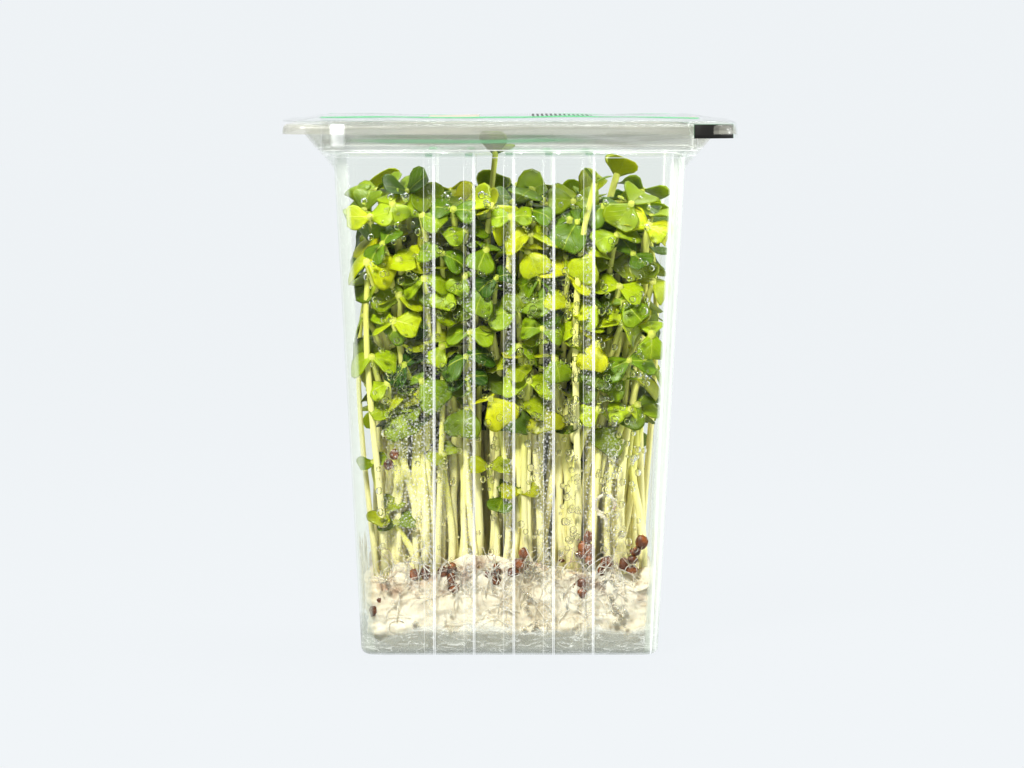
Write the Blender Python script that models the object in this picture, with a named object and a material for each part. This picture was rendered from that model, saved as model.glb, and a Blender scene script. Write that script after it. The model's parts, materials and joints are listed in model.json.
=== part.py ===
"""Radish sprouts on their own root mat, in a tall clear tub under a sealed clear film. Metres, +Z up."""

import math
import random

import bmesh
import bpy
from mathutils import Vector
from mathutils.kdtree import KDTree

# Tub: half sizes of the outer walls and the heights of its bands
BASE_HALF = (0.0360, 0.0270)
TOP_HALF = (0.0423, 0.0332)
COLLAR_HALF = (0.0452, 0.0361)
FLANGE_HALF = (0.0537, 0.0414)
EDGE_ROUND = 0.0020
BODY_CORNER = 0.0050
FLANGE_CORNER = 0.0084
LEDGE_Z = 0.1206
COLLAR_Z = 0.1222
FLANGE_Z = 0.1283
LIP_DROP = 0.0020
SHEET = 0.0006
CORNER_STEPS = 4

# Ribs on the front and back, and the hollow lugs on the sides
RIB_COUNT = 5
RIB_PITCH = 0.0096
RIB_HALF = 0.00125
RIB_RISE = 0.0011
RIB_ANGLES = (math.pi, math.pi * 2 / 3, math.pi / 3, 0.0)
LUG_HALF = 0.0110
LUG_STEPS = 4
LUG_Z = 0.1160
LUG_TOP_Z = 0.1255
LUG_RISE = 0.0050

# Lid film
GAP = 0.0003
FILM = 0.0003
FILM_INSETS = (0.0, 0.0045, 0.0100, 0.0180, 0.0280)
FILM_DOME = 0.0010
PULL_LENGTH = 0.0042
PULL_OUT = 0.0008

# Root mat
MAT_FLOOR_Z = 0.0010
MAT_TOP_Z = 0.0215
MAT_EDGE_Z = 0.0062
MAT_UNDERCUT = 0.0055
HOLE_FLOOR_Z = 0.0080
HOLE_RADIUS = 0.0040
PLUG_RADIUS = 0.0036
PLUG_SIDES = 8

# Bunches of sprouts
SEED = 7
PITCH_X = 0.0121
PITCH_Y = 0.0110
ROWS = (6, 5, 6, 5, 6)
STEMS_PER_BUNCH = 4
FOOT_RING = 0.0020
STEM_RADIUS = 0.00095
STEM_STEPS = 4
STEM_SUNK = 0.0028
LOWEST_HEAD = 0.0540
HIGHEST_HEAD = 0.1150
HEAD_PLAY = 0.0120
HEAD_DRIFT = 0.0045
HEAD_SPREAD = 0.20
CLEARANCE = 0.0024
WALL_CLEARANCE = 0.0012
TRIES = 1500

# Seed leaves
BLADE_LENGTH = 0.0068
BLADE_WIDTH = 0.0086
BLADE = 0.0006
BLADE_NOTCH = 0.16
PETIOLE = 0.0012
WAIST_HALF = 0.0009
WAIST_REACH = 0.0008
WELD = 0.000002
RIM_ANGLES = (50, 95, 140, 180, 220, 265, 310)

# Seed hulls on the mat
HULL_COUNT = 10
HULL_SIZE = (0.0013, 0.0010, 0.0007)
HULL_SPACING = 0.0040

COLOURS = {
    "clear_plastic": ((0.90, 0.93, 0.93), 0.08),
    "clear_film": ((0.93, 0.95, 0.95), 0.12),
    "white_root": ((0.86, 0.82, 0.68), 0.85),
    "seed_leaf": ((0.33, 0.47, 0.05), 0.45),
    "seed_hull": ((0.36, 0.13, 0.04), 0.60),
}


def clear_scene():
    for old in list(bpy.data.objects):
        bpy.data.objects.remove(old, do_unlink=True)


def make_material(name):
    colour, roughness = COLOURS[name]
    material = bpy.data.materials.new(name)
    material.use_nodes = True
    shader = material.node_tree.nodes["Principled BSDF"]
    shader.inputs["Base Color"].default_value = (*colour, 1.0)
    shader.inputs["Roughness"].default_value = roughness
    shader.inputs["Metallic"].default_value = 0.0
    return material


def add_object(name, mesh, material=None):
    piece = bpy.data.objects.new(name, mesh)
    bpy.context.scene.collection.objects.link(piece)
    if material is not None:
        mesh.materials.append(material)
    return piece


def mesh_from(name, points, faces):
    """A closed mesh from its points and faces, with the faces pointing out."""
    shape = bmesh.new()
    corners = [shape.verts.new(point) for point in points]
    for face in faces:
        shape.faces.new([corners[index] for index in face])
    bmesh.ops.recalc_face_normals(shape, faces=shape.faces)
    mesh = bpy.data.meshes.new(name)
    shape.to_mesh(mesh)
    shape.free()
    return mesh


def loft(rings, close_first, close_last):
    """Faces between rings that all have the same number of points."""
    count = len(rings[0])
    points = [point for ring in rings for point in ring]
    faces = []
    for level in range(len(rings) - 1):
        low = level * count
        for step in range(count):
            after = (step + 1) % count
            faces.append((low + step, low + after, low + count + after, low + count + step))
    if close_first:
        faces.append(tuple(reversed(range(count))))
    if close_last:
        faces.append(tuple(range(len(points) - count, len(points))))
    return points, faces


def apply_boolean(target, others, operation):
    """Join a collection of objects to the target or cut them from it, and remove them."""
    group = bpy.data.collections.new("operands")
    bpy.context.scene.collection.children.link(group)
    for other in others:
        bpy.context.scene.collection.objects.unlink(other)
        group.objects.link(other)
    modifier = target.modifiers.new("join", "BOOLEAN")
    modifier.operand_type = "COLLECTION"
    modifier.collection = group
    modifier.operation = operation
    modifier.solver = "EXACT"
    bpy.context.view_layer.update()
    depsgraph = bpy.context.evaluated_depsgraph_get()
    joined = bpy.data.meshes.new_from_object(target.evaluated_get(depsgraph))
    target.modifiers.clear()
    target.data = joined
    for other in others:
        bpy.data.objects.remove(other, do_unlink=True)
    bpy.data.collections.remove(group)


def weld(piece):
    """Merge the tiny edges that a join leaves."""
    shape = bmesh.new()
    shape.from_mesh(piece.data)
    bmesh.ops.remove_doubles(shape, verts=shape.verts, dist=WELD)
    shape.to_mesh(piece.data)
    shape.free()


def corner_arc(centre_x, centre_y, radius, start):
    """Points of a quarter turn from the start angle, counter-clockwise."""
    turns = [start + math.pi / 2 * step / CORNER_STEPS for step in range(CORNER_STEPS + 1)]
    return [(centre_x + radius * math.cos(a), centre_y + radius * math.sin(a)) for a in turns]


def rounded_outline(half_x, half_y, radius):
    """A rounded rectangle, counter-clockwise from its lower left corner."""
    inner_x = half_x - radius
    inner_y = half_y - radius
    points = corner_arc(-inner_x, -inner_y, radius, math.pi)
    points += corner_arc(inner_x, -inner_y, radius, -math.pi / 2)
    points += corner_arc(inner_x, inner_y, radius, 0.0)
    points += corner_arc(-inner_x, inner_y, radius, math.pi / 2)
    return points


def rib_line(half_y, rise):
    """Points along the ribs of the front wall, from left to right."""
    points = []
    for rib in range(RIB_COUNT):
        centre = (rib - (RIB_COUNT - 1) / 2) * RIB_PITCH
        for angle in RIB_ANGLES:
            points.append((centre + RIB_HALF * math.cos(angle), -half_y - rise * math.sin(angle)))
    return points


def lug_line(half_x, rise):
    """Points along the lug of the right wall, from front to back."""
    points = []
    for step in range(LUG_STEPS + 1):
        y = LUG_HALF * (2 * step / LUG_STEPS - 1)
        points.append((half_x + rise * math.cos(math.pi / 2 * y / LUG_HALF) ** 0.6, y))
    return points


def tub_ring(z, half_x, half_y, radius, rib_rise=0.0, lug_rise=0.0):
    """One outline of the tub at height z, with its ribs and lugs."""
    corners = rounded_outline(half_x, half_y, radius)
    size = CORNER_STEPS + 1
    front = rib_line(half_y, rib_rise)
    side = lug_line(half_x, lug_rise)
    outline = corners[:size] + front + corners[size : 2 * size] + side
    outline += corners[2 * size : 3 * size] + [(-x, -y) for x, y in front]
    outline += corners[3 * size :] + [(-x, -y) for x, y in side]
    return [(x, y, z) for x, y in outline]


def wall_half(z):
    """Half width and half depth of the outer walls at height z."""
    rise = (z - EDGE_ROUND) / (LEDGE_Z - EDGE_ROUND)
    return tuple(low + (high - low) * rise for low, high in zip(BASE_HALF, TOP_HALF))


def make_tub(material):
    """The thermoformed sheet: its outer skin, thickened inward."""
    half_edge = EDGE_ROUND * 0.3
    rings = [
        tub_ring(0.0, BASE_HALF[0] - EDGE_ROUND, BASE_HALF[1] - EDGE_ROUND, BODY_CORNER - EDGE_ROUND),
        tub_ring(half_edge, BASE_HALF[0] - half_edge, BASE_HALF[1] - half_edge, BODY_CORNER - half_edge),
        tub_ring(EDGE_ROUND, *BASE_HALF, BODY_CORNER, RIB_RISE),
        tub_ring(LUG_Z, *wall_half(LUG_Z), BODY_CORNER, RIB_RISE),
        tub_ring(LEDGE_Z, *TOP_HALF, BODY_CORNER, RIB_RISE, LUG_RISE * 0.75),
        tub_ring(
            LEDGE_Z + (COLLAR_Z - LEDGE_Z) * 0.4,
            TOP_HALF[0] + RIB_RISE,
            TOP_HALF[1] + RIB_RISE,
            BODY_CORNER + RIB_RISE,
            lug_rise=LUG_RISE * 0.75,
        ),
        tub_ring(COLLAR_Z, *COLLAR_HALF, BODY_CORNER + 0.002, lug_rise=LUG_RISE * 0.7),
        tub_ring(LUG_TOP_Z, *COLLAR_HALF, BODY_CORNER + 0.002, lug_rise=LUG_RISE),
        tub_ring(FLANGE_Z - 0.0006, *COLLAR_HALF, BODY_CORNER + 0.002, lug_rise=LUG_RISE),
        tub_ring(
            FLANGE_Z,
            COLLAR_HALF[0] + 0.0006,
            COLLAR_HALF[1] + 0.0006,
            BODY_CORNER + 0.0026,
            lug_rise=LUG_RISE,
        ),
        tub_ring(FLANGE_Z, *FLANGE_HALF, FLANGE_CORNER),
        tub_ring(FLANGE_Z - LIP_DROP, *FLANGE_HALF, FLANGE_CORNER),
    ]
    points, faces = loft(rings, True, False)
    mesh = mesh_from("tub", points, faces)
    tub = add_object("tub", mesh, material)
    wall = tub.modifiers.new("sheet", "SOLIDIFY")
    wall.thickness = SHEET
    wall.offset = 1.0
    wall.use_even_offset = True
    mesh.shade_smooth()
    mesh.set_sharp_from_angle(angle=math.radians(35))
    return tub


def film_rings():
    """Rings of the film from its edge to the middle, which stands a little higher."""
    base_z = FLANGE_Z + SHEET + GAP + FILM / 2
    half_x = FLANGE_HALF[0] + SHEET
    half_y = FLANGE_HALF[1] + SHEET
    rings = []
    for inset in FILM_INSETS:
        rise = FILM_DOME * math.sin(math.pi / 2 * inset / FILM_INSETS[-1]) ** 2
        corner = max(FLANGE_CORNER + SHEET - inset, 0.004)
        outline = rounded_outline(half_x - inset, half_y - inset, corner)
        rings.append([(x, y, base_z + rise) for x, y in outline])
    return rings


def make_lid_film(material):
    """The film sealed on the flange, with its pull corner drooping at the front right."""
    rings = film_rings()
    points, faces = loft(rings, False, True)
    edge = rings[0]
    first = CORNER_STEPS + 1
    top = list(range(first + 1, first + CORNER_STEPS))
    lower = top
    for out, drop in ((PULL_OUT, PULL_LENGTH * 0.2), (PULL_OUT * 1.6, PULL_LENGTH)):
        row = []
        for index in top:
            away = Vector(edge[index][:2]) - Vector(edge[first][:2]) - Vector((0.0, FLANGE_CORNER))
            away.normalize()
            row.append(len(points))
            points.append((edge[index][0] + away.x * out, edge[index][1] + away.y * out, edge[index][2] - drop))
        for step in range(len(top) - 1):
            faces.append((lower[step], row[step], row[step + 1], lower[step + 1]))
        lower = row
    mesh = mesh_from("lid_film", points, faces)
    film = add_object("lid_film", mesh, material)
    sheet = film.modifiers.new("sheet", "SOLIDIFY")
    sheet.thickness = FILM
    sheet.offset = 0.0
    return film


def bunch_places():
    """Centres of the bunches, in rows that are set off from each other by half a step."""
    places = []
    for row, count in enumerate(ROWS):
        y = (row - (len(ROWS) - 1) / 2) * PITCH_Y
        for column in range(count):
            places.append(((column - (count - 1) / 2) * PITCH_X, y))
    return places


class Sprout:
    """One stem with its pair of seed leaves."""

    def __init__(self, foot, head, lean, turn, rise, droop, cup, size, bow):
        self.foot = Vector(foot)
        self.head = Vector(head)
        self.up = Vector((lean[0], lean[1], 1.0)).normalized()
        level = Vector((math.cos(turn), math.sin(turn), 0.0))
        self.out = (level - self.up * level.dot(self.up)).normalized()
        self.side = self.up.cross(self.out)
        self.rise = rise
        self.droop = droop
        self.cup = cup
        self.size = size
        self.bow = Vector(bow)

    def stem_point(self, t):
        """A point of the stem's curve, which leaves the foot upright and meets the leaves along up."""
        height = self.head.z - self.foot.z
        first = self.foot + Vector((0.0, 0.0, height * 0.4)) + self.bow
        second = self.head - self.up * height * 0.3
        rest = 1.0 - t
        return (
            self.foot * rest**3
            + first * 3 * rest * rest * t
            + second * 3 * rest * t * t
            + self.head * t**3
        )

    def leaf_point(self, hand, across, along, lift=0.0):
        """A point of one leaf: hand is 1 or -1, across and along are measured in its outline."""
        width = BLADE_WIDTH * self.size / 2
        length = (BLADE_LENGTH + PETIOLE) * self.size
        bend = self.droop * max(along, 0.0) / length
        reach = along
        climb = 0.0
        if bend:
            reach = length / self.droop * (math.sin(self.rise) - math.sin(self.rise - bend))
            climb = length / self.droop * (math.cos(self.rise - bend) - math.cos(self.rise))
        angle = self.rise - bend
        out = self.out * hand
        normal = self.up * math.cos(angle) - out * math.sin(angle)
        lift = lift + self.cup * across * across / width
        root = self.head - self.up * BLADE
        return root + out * reach + self.up * climb + self.side * across + normal * lift

    def rim(self, angle, share=1.0):
        """Across and along for a point on the leaf's notched outline, or inside it for a smaller share."""
        across = BLADE_WIDTH / 2 * math.sin(angle) * (1 - 0.28 * math.cos(angle))
        notch = BLADE_NOTCH * math.exp(-(((angle - math.pi) / 0.5) ** 2))
        along = BLADE_LENGTH * (0.5 - 0.5 * math.cos(angle) - notch)
        middle = BLADE_LENGTH * 0.5
        along = PETIOLE + middle + (along - middle) * share
        return across * share * self.size, along * self.size

    def samples(self):
        """Points spread over the stem and both leaves, to keep sprouts clear of each other."""
        height = self.head.z - self.foot.z
        count = max(3, round(height / 0.0025))
        points = [self.stem_point(step / count) for step in range(count + 1)]
        for hand in (1, -1):
            for share, steps in ((0.0, 1), (0.5, 6), (1.0, 12)):
                for step in range(steps):
                    across, along = self.rim(2 * math.pi * step / steps, share)
                    points.append(self.leaf_point(hand, across, along))
        return points


def inside_tub(point):
    """True where a point of a sprout is clear of the walls and the film."""
    half_x, half_y = wall_half(point.z)
    margin = SHEET + WALL_CLEARANCE
    if point.z > LEDGE_Z:
        half_x, half_y = TOP_HALF
    if point.z > FLANGE_Z - margin or point.z < MAT_TOP_Z - STEM_SUNK - GAP:
        return False
    over_x = abs(point.x) - (half_x - BODY_CORNER)
    over_y = abs(point.y) - (half_y - BODY_CORNER)
    if over_x > 0 and over_y > 0:
        return math.hypot(over_x, over_y) < BODY_CORNER - margin
    return max(over_x, over_y) < BODY_CORNER - margin


def draw_sprout(draws, place, number, height, size):
    """One trial sprout over a bunch's place."""
    turn = 2 * math.pi * (number + 0.25) / STEMS_PER_BUNCH + draws.uniform(-0.3, 0.3)
    foot = (
        place[0] + FOOT_RING * math.cos(turn),
        place[1] + FOOT_RING * math.sin(turn),
        MAT_TOP_Z - STEM_SUNK,
    )
    head_z = height + draws.uniform(-HEAD_PLAY, HEAD_PLAY)
    spread = 1.0 + HEAD_SPREAD * head_z / LEDGE_Z
    head = (
        foot[0] * spread + draws.gauss(0.0, HEAD_DRIFT),
        foot[1] * spread + draws.gauss(0.0, HEAD_DRIFT),
        head_z,
    )
    lean = (
        draws.gauss(0.0, 0.22) + 0.25 * head[0] / TOP_HALF[0],
        draws.gauss(0.0, 0.22) + 0.55 * head[1] / TOP_HALF[1],
    )
    bow = (draws.gauss(0.0, 0.0012), draws.gauss(0.0, 0.0012), 0.0)
    return Sprout(
        foot,
        head,
        lean,
        draws.uniform(0.0, 2 * math.pi),
        math.radians(draws.uniform(-8.0, 62.0)),
        math.radians(draws.uniform(8.0, 45.0)),
        draws.uniform(-0.12, 0.38),
        size,
        bow,
    )


def head_height(bunch, number):
    """Height of a head, so that the heads of neighbours stand at different levels."""
    step = (bunch * 0.618034 + number / STEMS_PER_BUNCH) % 1.0
    return LOWEST_HEAD + (HIGHEST_HEAD - LOWEST_HEAD) * step


def settle_sprouts():
    """Sprouts of every bunch, each the first trial that is clear of all those before it."""
    draws = random.Random(SEED)
    taken = []
    bunches = [[] for place in bunch_places()]
    for number in range(STEMS_PER_BUNCH):
        for bunch, place in enumerate(bunch_places()):
            tree = KDTree(len(taken))
            for index, point in enumerate(taken):
                tree.insert(point, index)
            tree.balance()
            for attempt in range(TRIES):
                size = draws.uniform(0.88, 1.12) * (1.0 - 0.35 * attempt / TRIES)
                sprout = draw_sprout(draws, place, number, head_height(bunch, number), size)
                points = sprout.samples()
                if not all(inside_tub(point) for point in points):
                    continue
                if taken and any(tree.find(point)[2] < CLEARANCE for point in points):
                    continue
                bunches[bunch].append(sprout)
                taken += points
                break
    return bunches


def stem_rings(sprout):
    """Rings of four points along the stem, up to just under its leaves."""
    rings = []
    for step in range(STEM_STEPS):
        centre = sprout.stem_point(step / STEM_STEPS)
        radius = STEM_RADIUS * (1.0 - 0.12 * step / STEM_STEPS)
        across = sprout.side * radius
        along = sprout.out * radius
        rings.append([centre - across, centre + along, centre + across, centre - along])
    return rings


def make_sprout(sprout):
    """A stem that widens into its pair of notched leaves, split alike on both faces."""
    rim = [sprout.rim(math.radians(angle)) for angle in RIM_ANGLES]
    middle = (0.0, PETIOLE + BLADE_LENGTH * 0.45 * sprout.size)
    waist = sprout.head - sprout.up * BLADE
    points = []
    for lift in (BLADE / 2, -BLADE / 2):
        points += [sprout.leaf_point(1, *spot, lift) for spot in rim]
        points.append(waist - sprout.side * WAIST_HALF + sprout.up * lift)
        points += [sprout.leaf_point(-1, *spot, lift) for spot in reversed(rim)]
        points.append(waist + sprout.side * WAIST_HALF + sprout.up * lift)
        points += [sprout.leaf_point(hand, *middle, lift) for hand in (1, -1)]
    half = len(rim) + 1
    around = 2 * half
    below = around + 2
    faces = []
    for step in range(around):
        after = (step + 1) % around
        hub = around if step < half - 1 or step == around - 1 else around + 1
        faces.append((step, after, hub))
        faces.append((below + after, below + step, below + hub))
        faces.append((after, step, below + step))
        faces.append((after, below + step, below + after))
    left = half - 1
    right = around - 1
    faces.append((left, right, around))
    faces.append((right, left, around + 1))
    near = len(points)
    points += [sprout.leaf_point(hand, 0.0, WAIST_REACH, -BLADE / 2) for hand in (1, -1)]
    for hub, inner in ((around, near), (around + 1, near + 1)):
        faces.append((below + left, inner, below + hub))
        faces.append((below + right, inner, below + hub))
    top = [below + left, near, below + right, near + 1]
    for ring in reversed(stem_rings(sprout)):
        lower = list(range(len(points), len(points) + 4))
        points += ring
        for step in range(4):
            after = (step + 1) % 4
            faces.append((top[step], top[after], lower[after], lower[step]))
        top = lower
    faces.append(tuple(top))
    return add_object("sprout", mesh_from("sprout", points, faces))


def make_round(name, place, levels):
    """A closed round body with many flat sides: levels are pairs of height and radius."""
    rings = []
    for z, radius in levels:
        ring = []
        for side in range(PLUG_SIDES):
            angle = 2 * math.pi * (side + 0.5) / PLUG_SIDES
            ring.append((place[0] + radius * math.cos(angle), place[1] + radius * math.sin(angle), z))
        rings.append(ring)
    return add_object(name, mesh_from(name, *loft(rings, True, True)))


def make_plug(name, place):
    """The roots of one bunch, packed in its hole."""
    bottom = HOLE_FLOOR_Z + GAP
    levels = (
        (bottom, PLUG_RADIUS * 0.55),
        (bottom + 0.003, PLUG_RADIUS * 0.9),
        (MAT_TOP_Z, PLUG_RADIUS),
        (MAT_TOP_Z + 0.0012, PLUG_RADIUS * 0.8),
    )
    return make_round(name, place, levels)


def make_bunch(number, place, sprouts, material):
    """Roots, stems and leaves of one bunch, joined into one body."""
    bunch = make_plug(f"sprouts_{number:02d}", place)
    apply_boolean(bunch, [make_sprout(sprout) for sprout in sprouts], "UNION")
    weld(bunch)
    bunch.data.materials.append(material)
    bunch.data.shade_flat()
    return bunch


def mat_ring(z, inset, wave):
    """An outline of the mat, kept inside the tub's walls and a little ragged."""
    half_x, half_y = wall_half(z)
    room = SHEET + GAP + inset
    outline = rounded_outline(half_x - room, half_y - room, max(BODY_CORNER - room, 0.0015))
    ring = []
    for step, (x, y) in enumerate(outline):
        ragged = 1.0 - wave * (0.5 + 0.5 * math.sin(step * 2.3))
        ring.append((x * ragged, y * ragged, z))
    return ring


def make_root_mat(material):
    """The felt of roots, with a blind hole for each bunch."""
    low = mat_ring(MAT_EDGE_Z, 0.0, 0.015)
    tilted = [(x, y, z - 0.0015 * x / BASE_HALF[0]) for x, y, z in low]
    rings = [
        mat_ring(MAT_FLOOR_Z, MAT_UNDERCUT, 0.03),
        tilted,
        mat_ring(MAT_TOP_Z - 0.0025, 0.0, 0.010),
        mat_ring(MAT_TOP_Z, 0.0012, 0.02),
    ]
    mat = add_object("root_mat", mesh_from("root_mat", *loft(rings, True, True)))
    holes = ((HOLE_FLOOR_Z, HOLE_RADIUS), (MAT_TOP_Z + 0.001, HOLE_RADIUS))
    cutters = [make_round("hole", place, holes) for place in bunch_places()]
    apply_boolean(mat, cutters, "DIFFERENCE")
    mat.data.materials.append(material)
    return mat


def make_hulls(material):
    """Empty seed coats that lie on the mat between the bunches."""
    draws = random.Random(SEED)
    places = bunch_places()
    made = []
    while len(made) < HULL_COUNT:
        half_x, half_y = wall_half(MAT_TOP_Z)
        x = draws.uniform(-1.0, 1.0) * (half_x - 0.005)
        y = draws.uniform(-1.0, -0.2) * (half_y - 0.005)
        near_plug = min(math.hypot(x - px, y - py) for px, py in places) < HOLE_RADIUS + HULL_SIZE[0]
        near_hull = any(math.hypot(x - hx, y - hy) < HULL_SPACING for hx, hy in made)
        if near_plug or near_hull:
            continue
        made.append((x, y))
        shape = bmesh.new()
        bmesh.ops.create_icosphere(shape, subdivisions=1, radius=1.0)
        turn = draws.uniform(0.0, math.pi)
        for vert in shape.verts:
            dent = 1.0 - 0.45 * max(0.0, vert.co.z) * (1.0 - vert.co.x**2)
            long = vert.co.x * HULL_SIZE[0]
            wide = vert.co.y * HULL_SIZE[1]
            vert.co = (
                long * math.cos(turn) - wide * math.sin(turn) + x,
                long * math.sin(turn) + wide * math.cos(turn) + y,
                (vert.co.z * dent + 1.0) * HULL_SIZE[2] + MAT_TOP_Z + GAP,
            )
        name = f"seed_hull_{len(made):02d}"
        mesh = bpy.data.meshes.new(name)
        shape.to_mesh(mesh)
        shape.free()
        add_object(name, mesh, material)


def build():
    clear_scene()
    materials = {name: make_material(name) for name in COLOURS}
    make_tub(materials["clear_plastic"])
    make_lid_film(materials["clear_film"])
    make_root_mat(materials["white_root"])
    bunches = settle_sprouts()
    for number, (place, sprouts) in enumerate(zip(bunch_places(), bunches), 1):
        make_bunch(number, place, sprouts, materials["seed_leaf"])
    make_hulls(materials["seed_hull"])


build()
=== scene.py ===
"""The look of radish sprouts in a tall clear tub with a printed clear film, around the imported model."""

import json
import math
import random

import bpy
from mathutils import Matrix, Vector, noise
from mathutils.kdtree import KDTree

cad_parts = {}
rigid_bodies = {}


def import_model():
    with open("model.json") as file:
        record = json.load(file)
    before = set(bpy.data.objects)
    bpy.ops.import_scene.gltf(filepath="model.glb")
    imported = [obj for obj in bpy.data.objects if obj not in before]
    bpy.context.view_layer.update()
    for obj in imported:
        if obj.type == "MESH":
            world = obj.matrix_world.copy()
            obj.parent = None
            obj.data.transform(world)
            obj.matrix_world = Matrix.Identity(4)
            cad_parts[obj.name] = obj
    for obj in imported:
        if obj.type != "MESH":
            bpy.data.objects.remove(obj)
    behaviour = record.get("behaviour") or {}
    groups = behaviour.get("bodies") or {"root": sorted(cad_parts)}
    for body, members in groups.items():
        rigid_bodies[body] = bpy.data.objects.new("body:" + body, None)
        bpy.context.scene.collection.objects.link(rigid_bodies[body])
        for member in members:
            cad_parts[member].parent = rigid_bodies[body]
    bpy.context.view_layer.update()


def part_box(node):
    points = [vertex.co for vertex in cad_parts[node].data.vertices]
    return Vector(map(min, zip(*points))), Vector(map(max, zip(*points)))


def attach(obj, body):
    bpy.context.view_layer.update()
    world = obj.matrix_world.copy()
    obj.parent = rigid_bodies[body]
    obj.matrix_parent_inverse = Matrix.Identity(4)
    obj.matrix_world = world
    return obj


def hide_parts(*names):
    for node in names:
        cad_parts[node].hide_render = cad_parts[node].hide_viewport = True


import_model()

# Tub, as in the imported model
BASE_HALF = (0.0360, 0.0270)
TOP_HALF = (0.0423, 0.0332)
COLLAR_HALF = (0.0452, 0.0361)
FLANGE_HALF = (0.0537, 0.0414)
EDGE_ROUND = 0.0020
BODY_CORNER = 0.0050
FLANGE_CORNER = 0.0084
LEDGE_Z = 0.1206
COLLAR_Z = 0.1222
FLANGE_Z = 0.1283
LIP_DROP = 0.0020
SHEET = 0.0006
THIN_SHEET = 0.00045
GAP = 0.0003

# Ribs and lugs
RIB_COUNT = 5
RIB_PITCH = 0.0096
RIB_HALF = 0.00125
RIB_RISE = 0.0011
RIB_FOOT = 0.00175
RIB_FLAT = 0.35
# Offset from a rib's middle of its painted highlight lines
RIB_HIGHLIGHT_SET = 0.00104
RIB_SHARES = (-1.0, -0.84, -0.675, -0.51, -0.35, 0.0, 0.35, 0.51, 0.675, 0.84, 1.0)
LUG_HALF = 0.0110
LUG_STEPS = 10
LUG_Z = 0.1160
LUG_TOP_Z = 0.1255
LUG_RISE = 0.0050

# Film
FILM = 0.0003
FILM_DOME = 0.0010
THIN_FILM = 0.00008
PULL_LEFT = 0.0430

# Root mat
MAT_FLOOR_Z = 0.0010
MAT_TOP_Z = 0.0215
MAT_EDGE_Z = 0.0062
MAT_UNDERCUT = 0.0055
MAT_ROUND = 0.0035
MAT_ROUGHNESS = ((1.3, 0.8), (3.1, 0.45), (7.0, 0.25))

# Bunches of sprouts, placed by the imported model's rule
SEED = 7
PITCH_X = 0.0121
PITCH_Y = 0.0110
ROWS = (6, 5, 6, 5, 6)
STEMS_PER_BUNCH = 4
FOOT_RING = 0.0020
STEM_SUNK = 0.0028
LOWEST_HEAD = 0.0540
HIGHEST_HEAD = 0.1150
HEAD_PLAY = 0.0120
HEAD_DRIFT = 0.0045
HEAD_SPREAD = 0.20
CLEARANCE = 0.0024
WALL_CLEARANCE = 0.0012
TRIES = 1500

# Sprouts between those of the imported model
FILLER_LAYERS = (
    (-0.0278, 9, 8),
    (-0.0225, 8, 8),
    (0.0262, 8, 7),
    (-0.0140, 8, 7),
    (0.0180, 6, 6),
    (-0.0040, 6, 6),
    (0.0070, 6, 6),
)
FILLER_TRIES = 20
TALL_HEAD = 0.108
FILLER_LOW = 0.061
FILLER_HIGH = 0.109
LEAF_ROOM = 0.0052
STEM_ROOM = 0.0013
ROD_STEPS = 8
LEAF_SIDES = 14
LEAF_THICK = 0.00045
LEAF_FLARE = 0.05
FILLER_WALL = 0.0006
FILLER_NECK = 0.011
STEM_THICKNESS = (0.00072, 0.00102)

SEEDLINGS = (
    (-0.0300, 0.0350, 1.2, 0.74),
    (-0.0275, 0.0322, 0.3, 0.70),
    (-0.0222, 0.0655, 0.2, 0.72),
    (-0.0285, 0.0600, 0.6, 0.80),
    (-0.0330, 0.0470, 0.5, 0.55),
    (-0.0048, 0.0460, 0.1, 0.72),
    (-0.0014, 0.0385, 1.4, 0.76),
    (0.0026, 0.0398, 0.2, 0.68),
    (-0.0160, 0.0490, 1.0, 0.60),
)

# Roots, seed coats and drops of water
THREAD_COUNT = 520
THREAD_LENGTH = (0.005, 0.014)
THREAD_THICKNESS = (0.00008, 0.00017)
THREAD_CLIMB = 0.0050
CURLS = (
    (0.0232, 0.0368, 0.0023, -0.6, 2.6),
    (0.0230, 0.0368, 0.0023, 2.6, 4.6),
    (0.0212, 0.0322, 0.0022, -0.4, 1.6),
)
CURL_THICK = 0.00042
HULL_COUNT = 10
FRONT_HULLS = (
    (-0.0322, 0.0122, 2),
    (-0.0285, 0.0478, 2),
    (-0.0230, 0.0198, 1),
    (-0.0203, 0.0202, 1),
    (-0.0148, 0.0203, 3),
    (-0.0135, 0.0165, 1),
    (-0.0040, 0.0195, 3),
    (0.0016, 0.0214, 2),
    (0.0034, 0.0249, 1),
    (0.0183, 0.0277, 2),
    (0.0187, 0.0245, 3),
    (0.0229, 0.0216, 2),
    (0.0169, 0.0165, 3),
    (0.0290, 0.0222, 3),
    (0.0312, 0.0266, 2),
)
COAT_SPANS = ((0.0012, 0.0020), (0.0008, 0.0011), (0.0012, 0.0022))
DROP_COUNT = 1500

# Studio
PALE = (0.862, 0.896, 0.922, 1.0)
CAMERA_PLACE = (0.0006, -1.30, 0.146)
CAMERA_TILT = 3.60
LENS = 185.8
LIGHTS = (
    ("front_top", (-0.30, -0.80, 0.80), (0.0, 0.0, 0.08), (0.22, 0.22), 21.0, (1.0, 0.98, 0.93)),
    ("right_strip", (0.80, -0.05, 0.20), (0.0, 0.0, 0.07), (0.30, 0.70), 9.0, (1.0, 1.0, 1.0)),
    ("overhead", (0.10, 0.15, 0.80), (0.0, 0.0, 0.10), (0.40, 0.30), 7.0, (1.0, 1.0, 1.0)),
)
LIGHT_GAIN = 1.05

# Seed leaves
BLADE_LENGTH = 0.0068
BLADE_WIDTH = 0.0086
BLADE = 0.0006
BLADE_NOTCH = 0.16
PETIOLE = 0.0012


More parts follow.
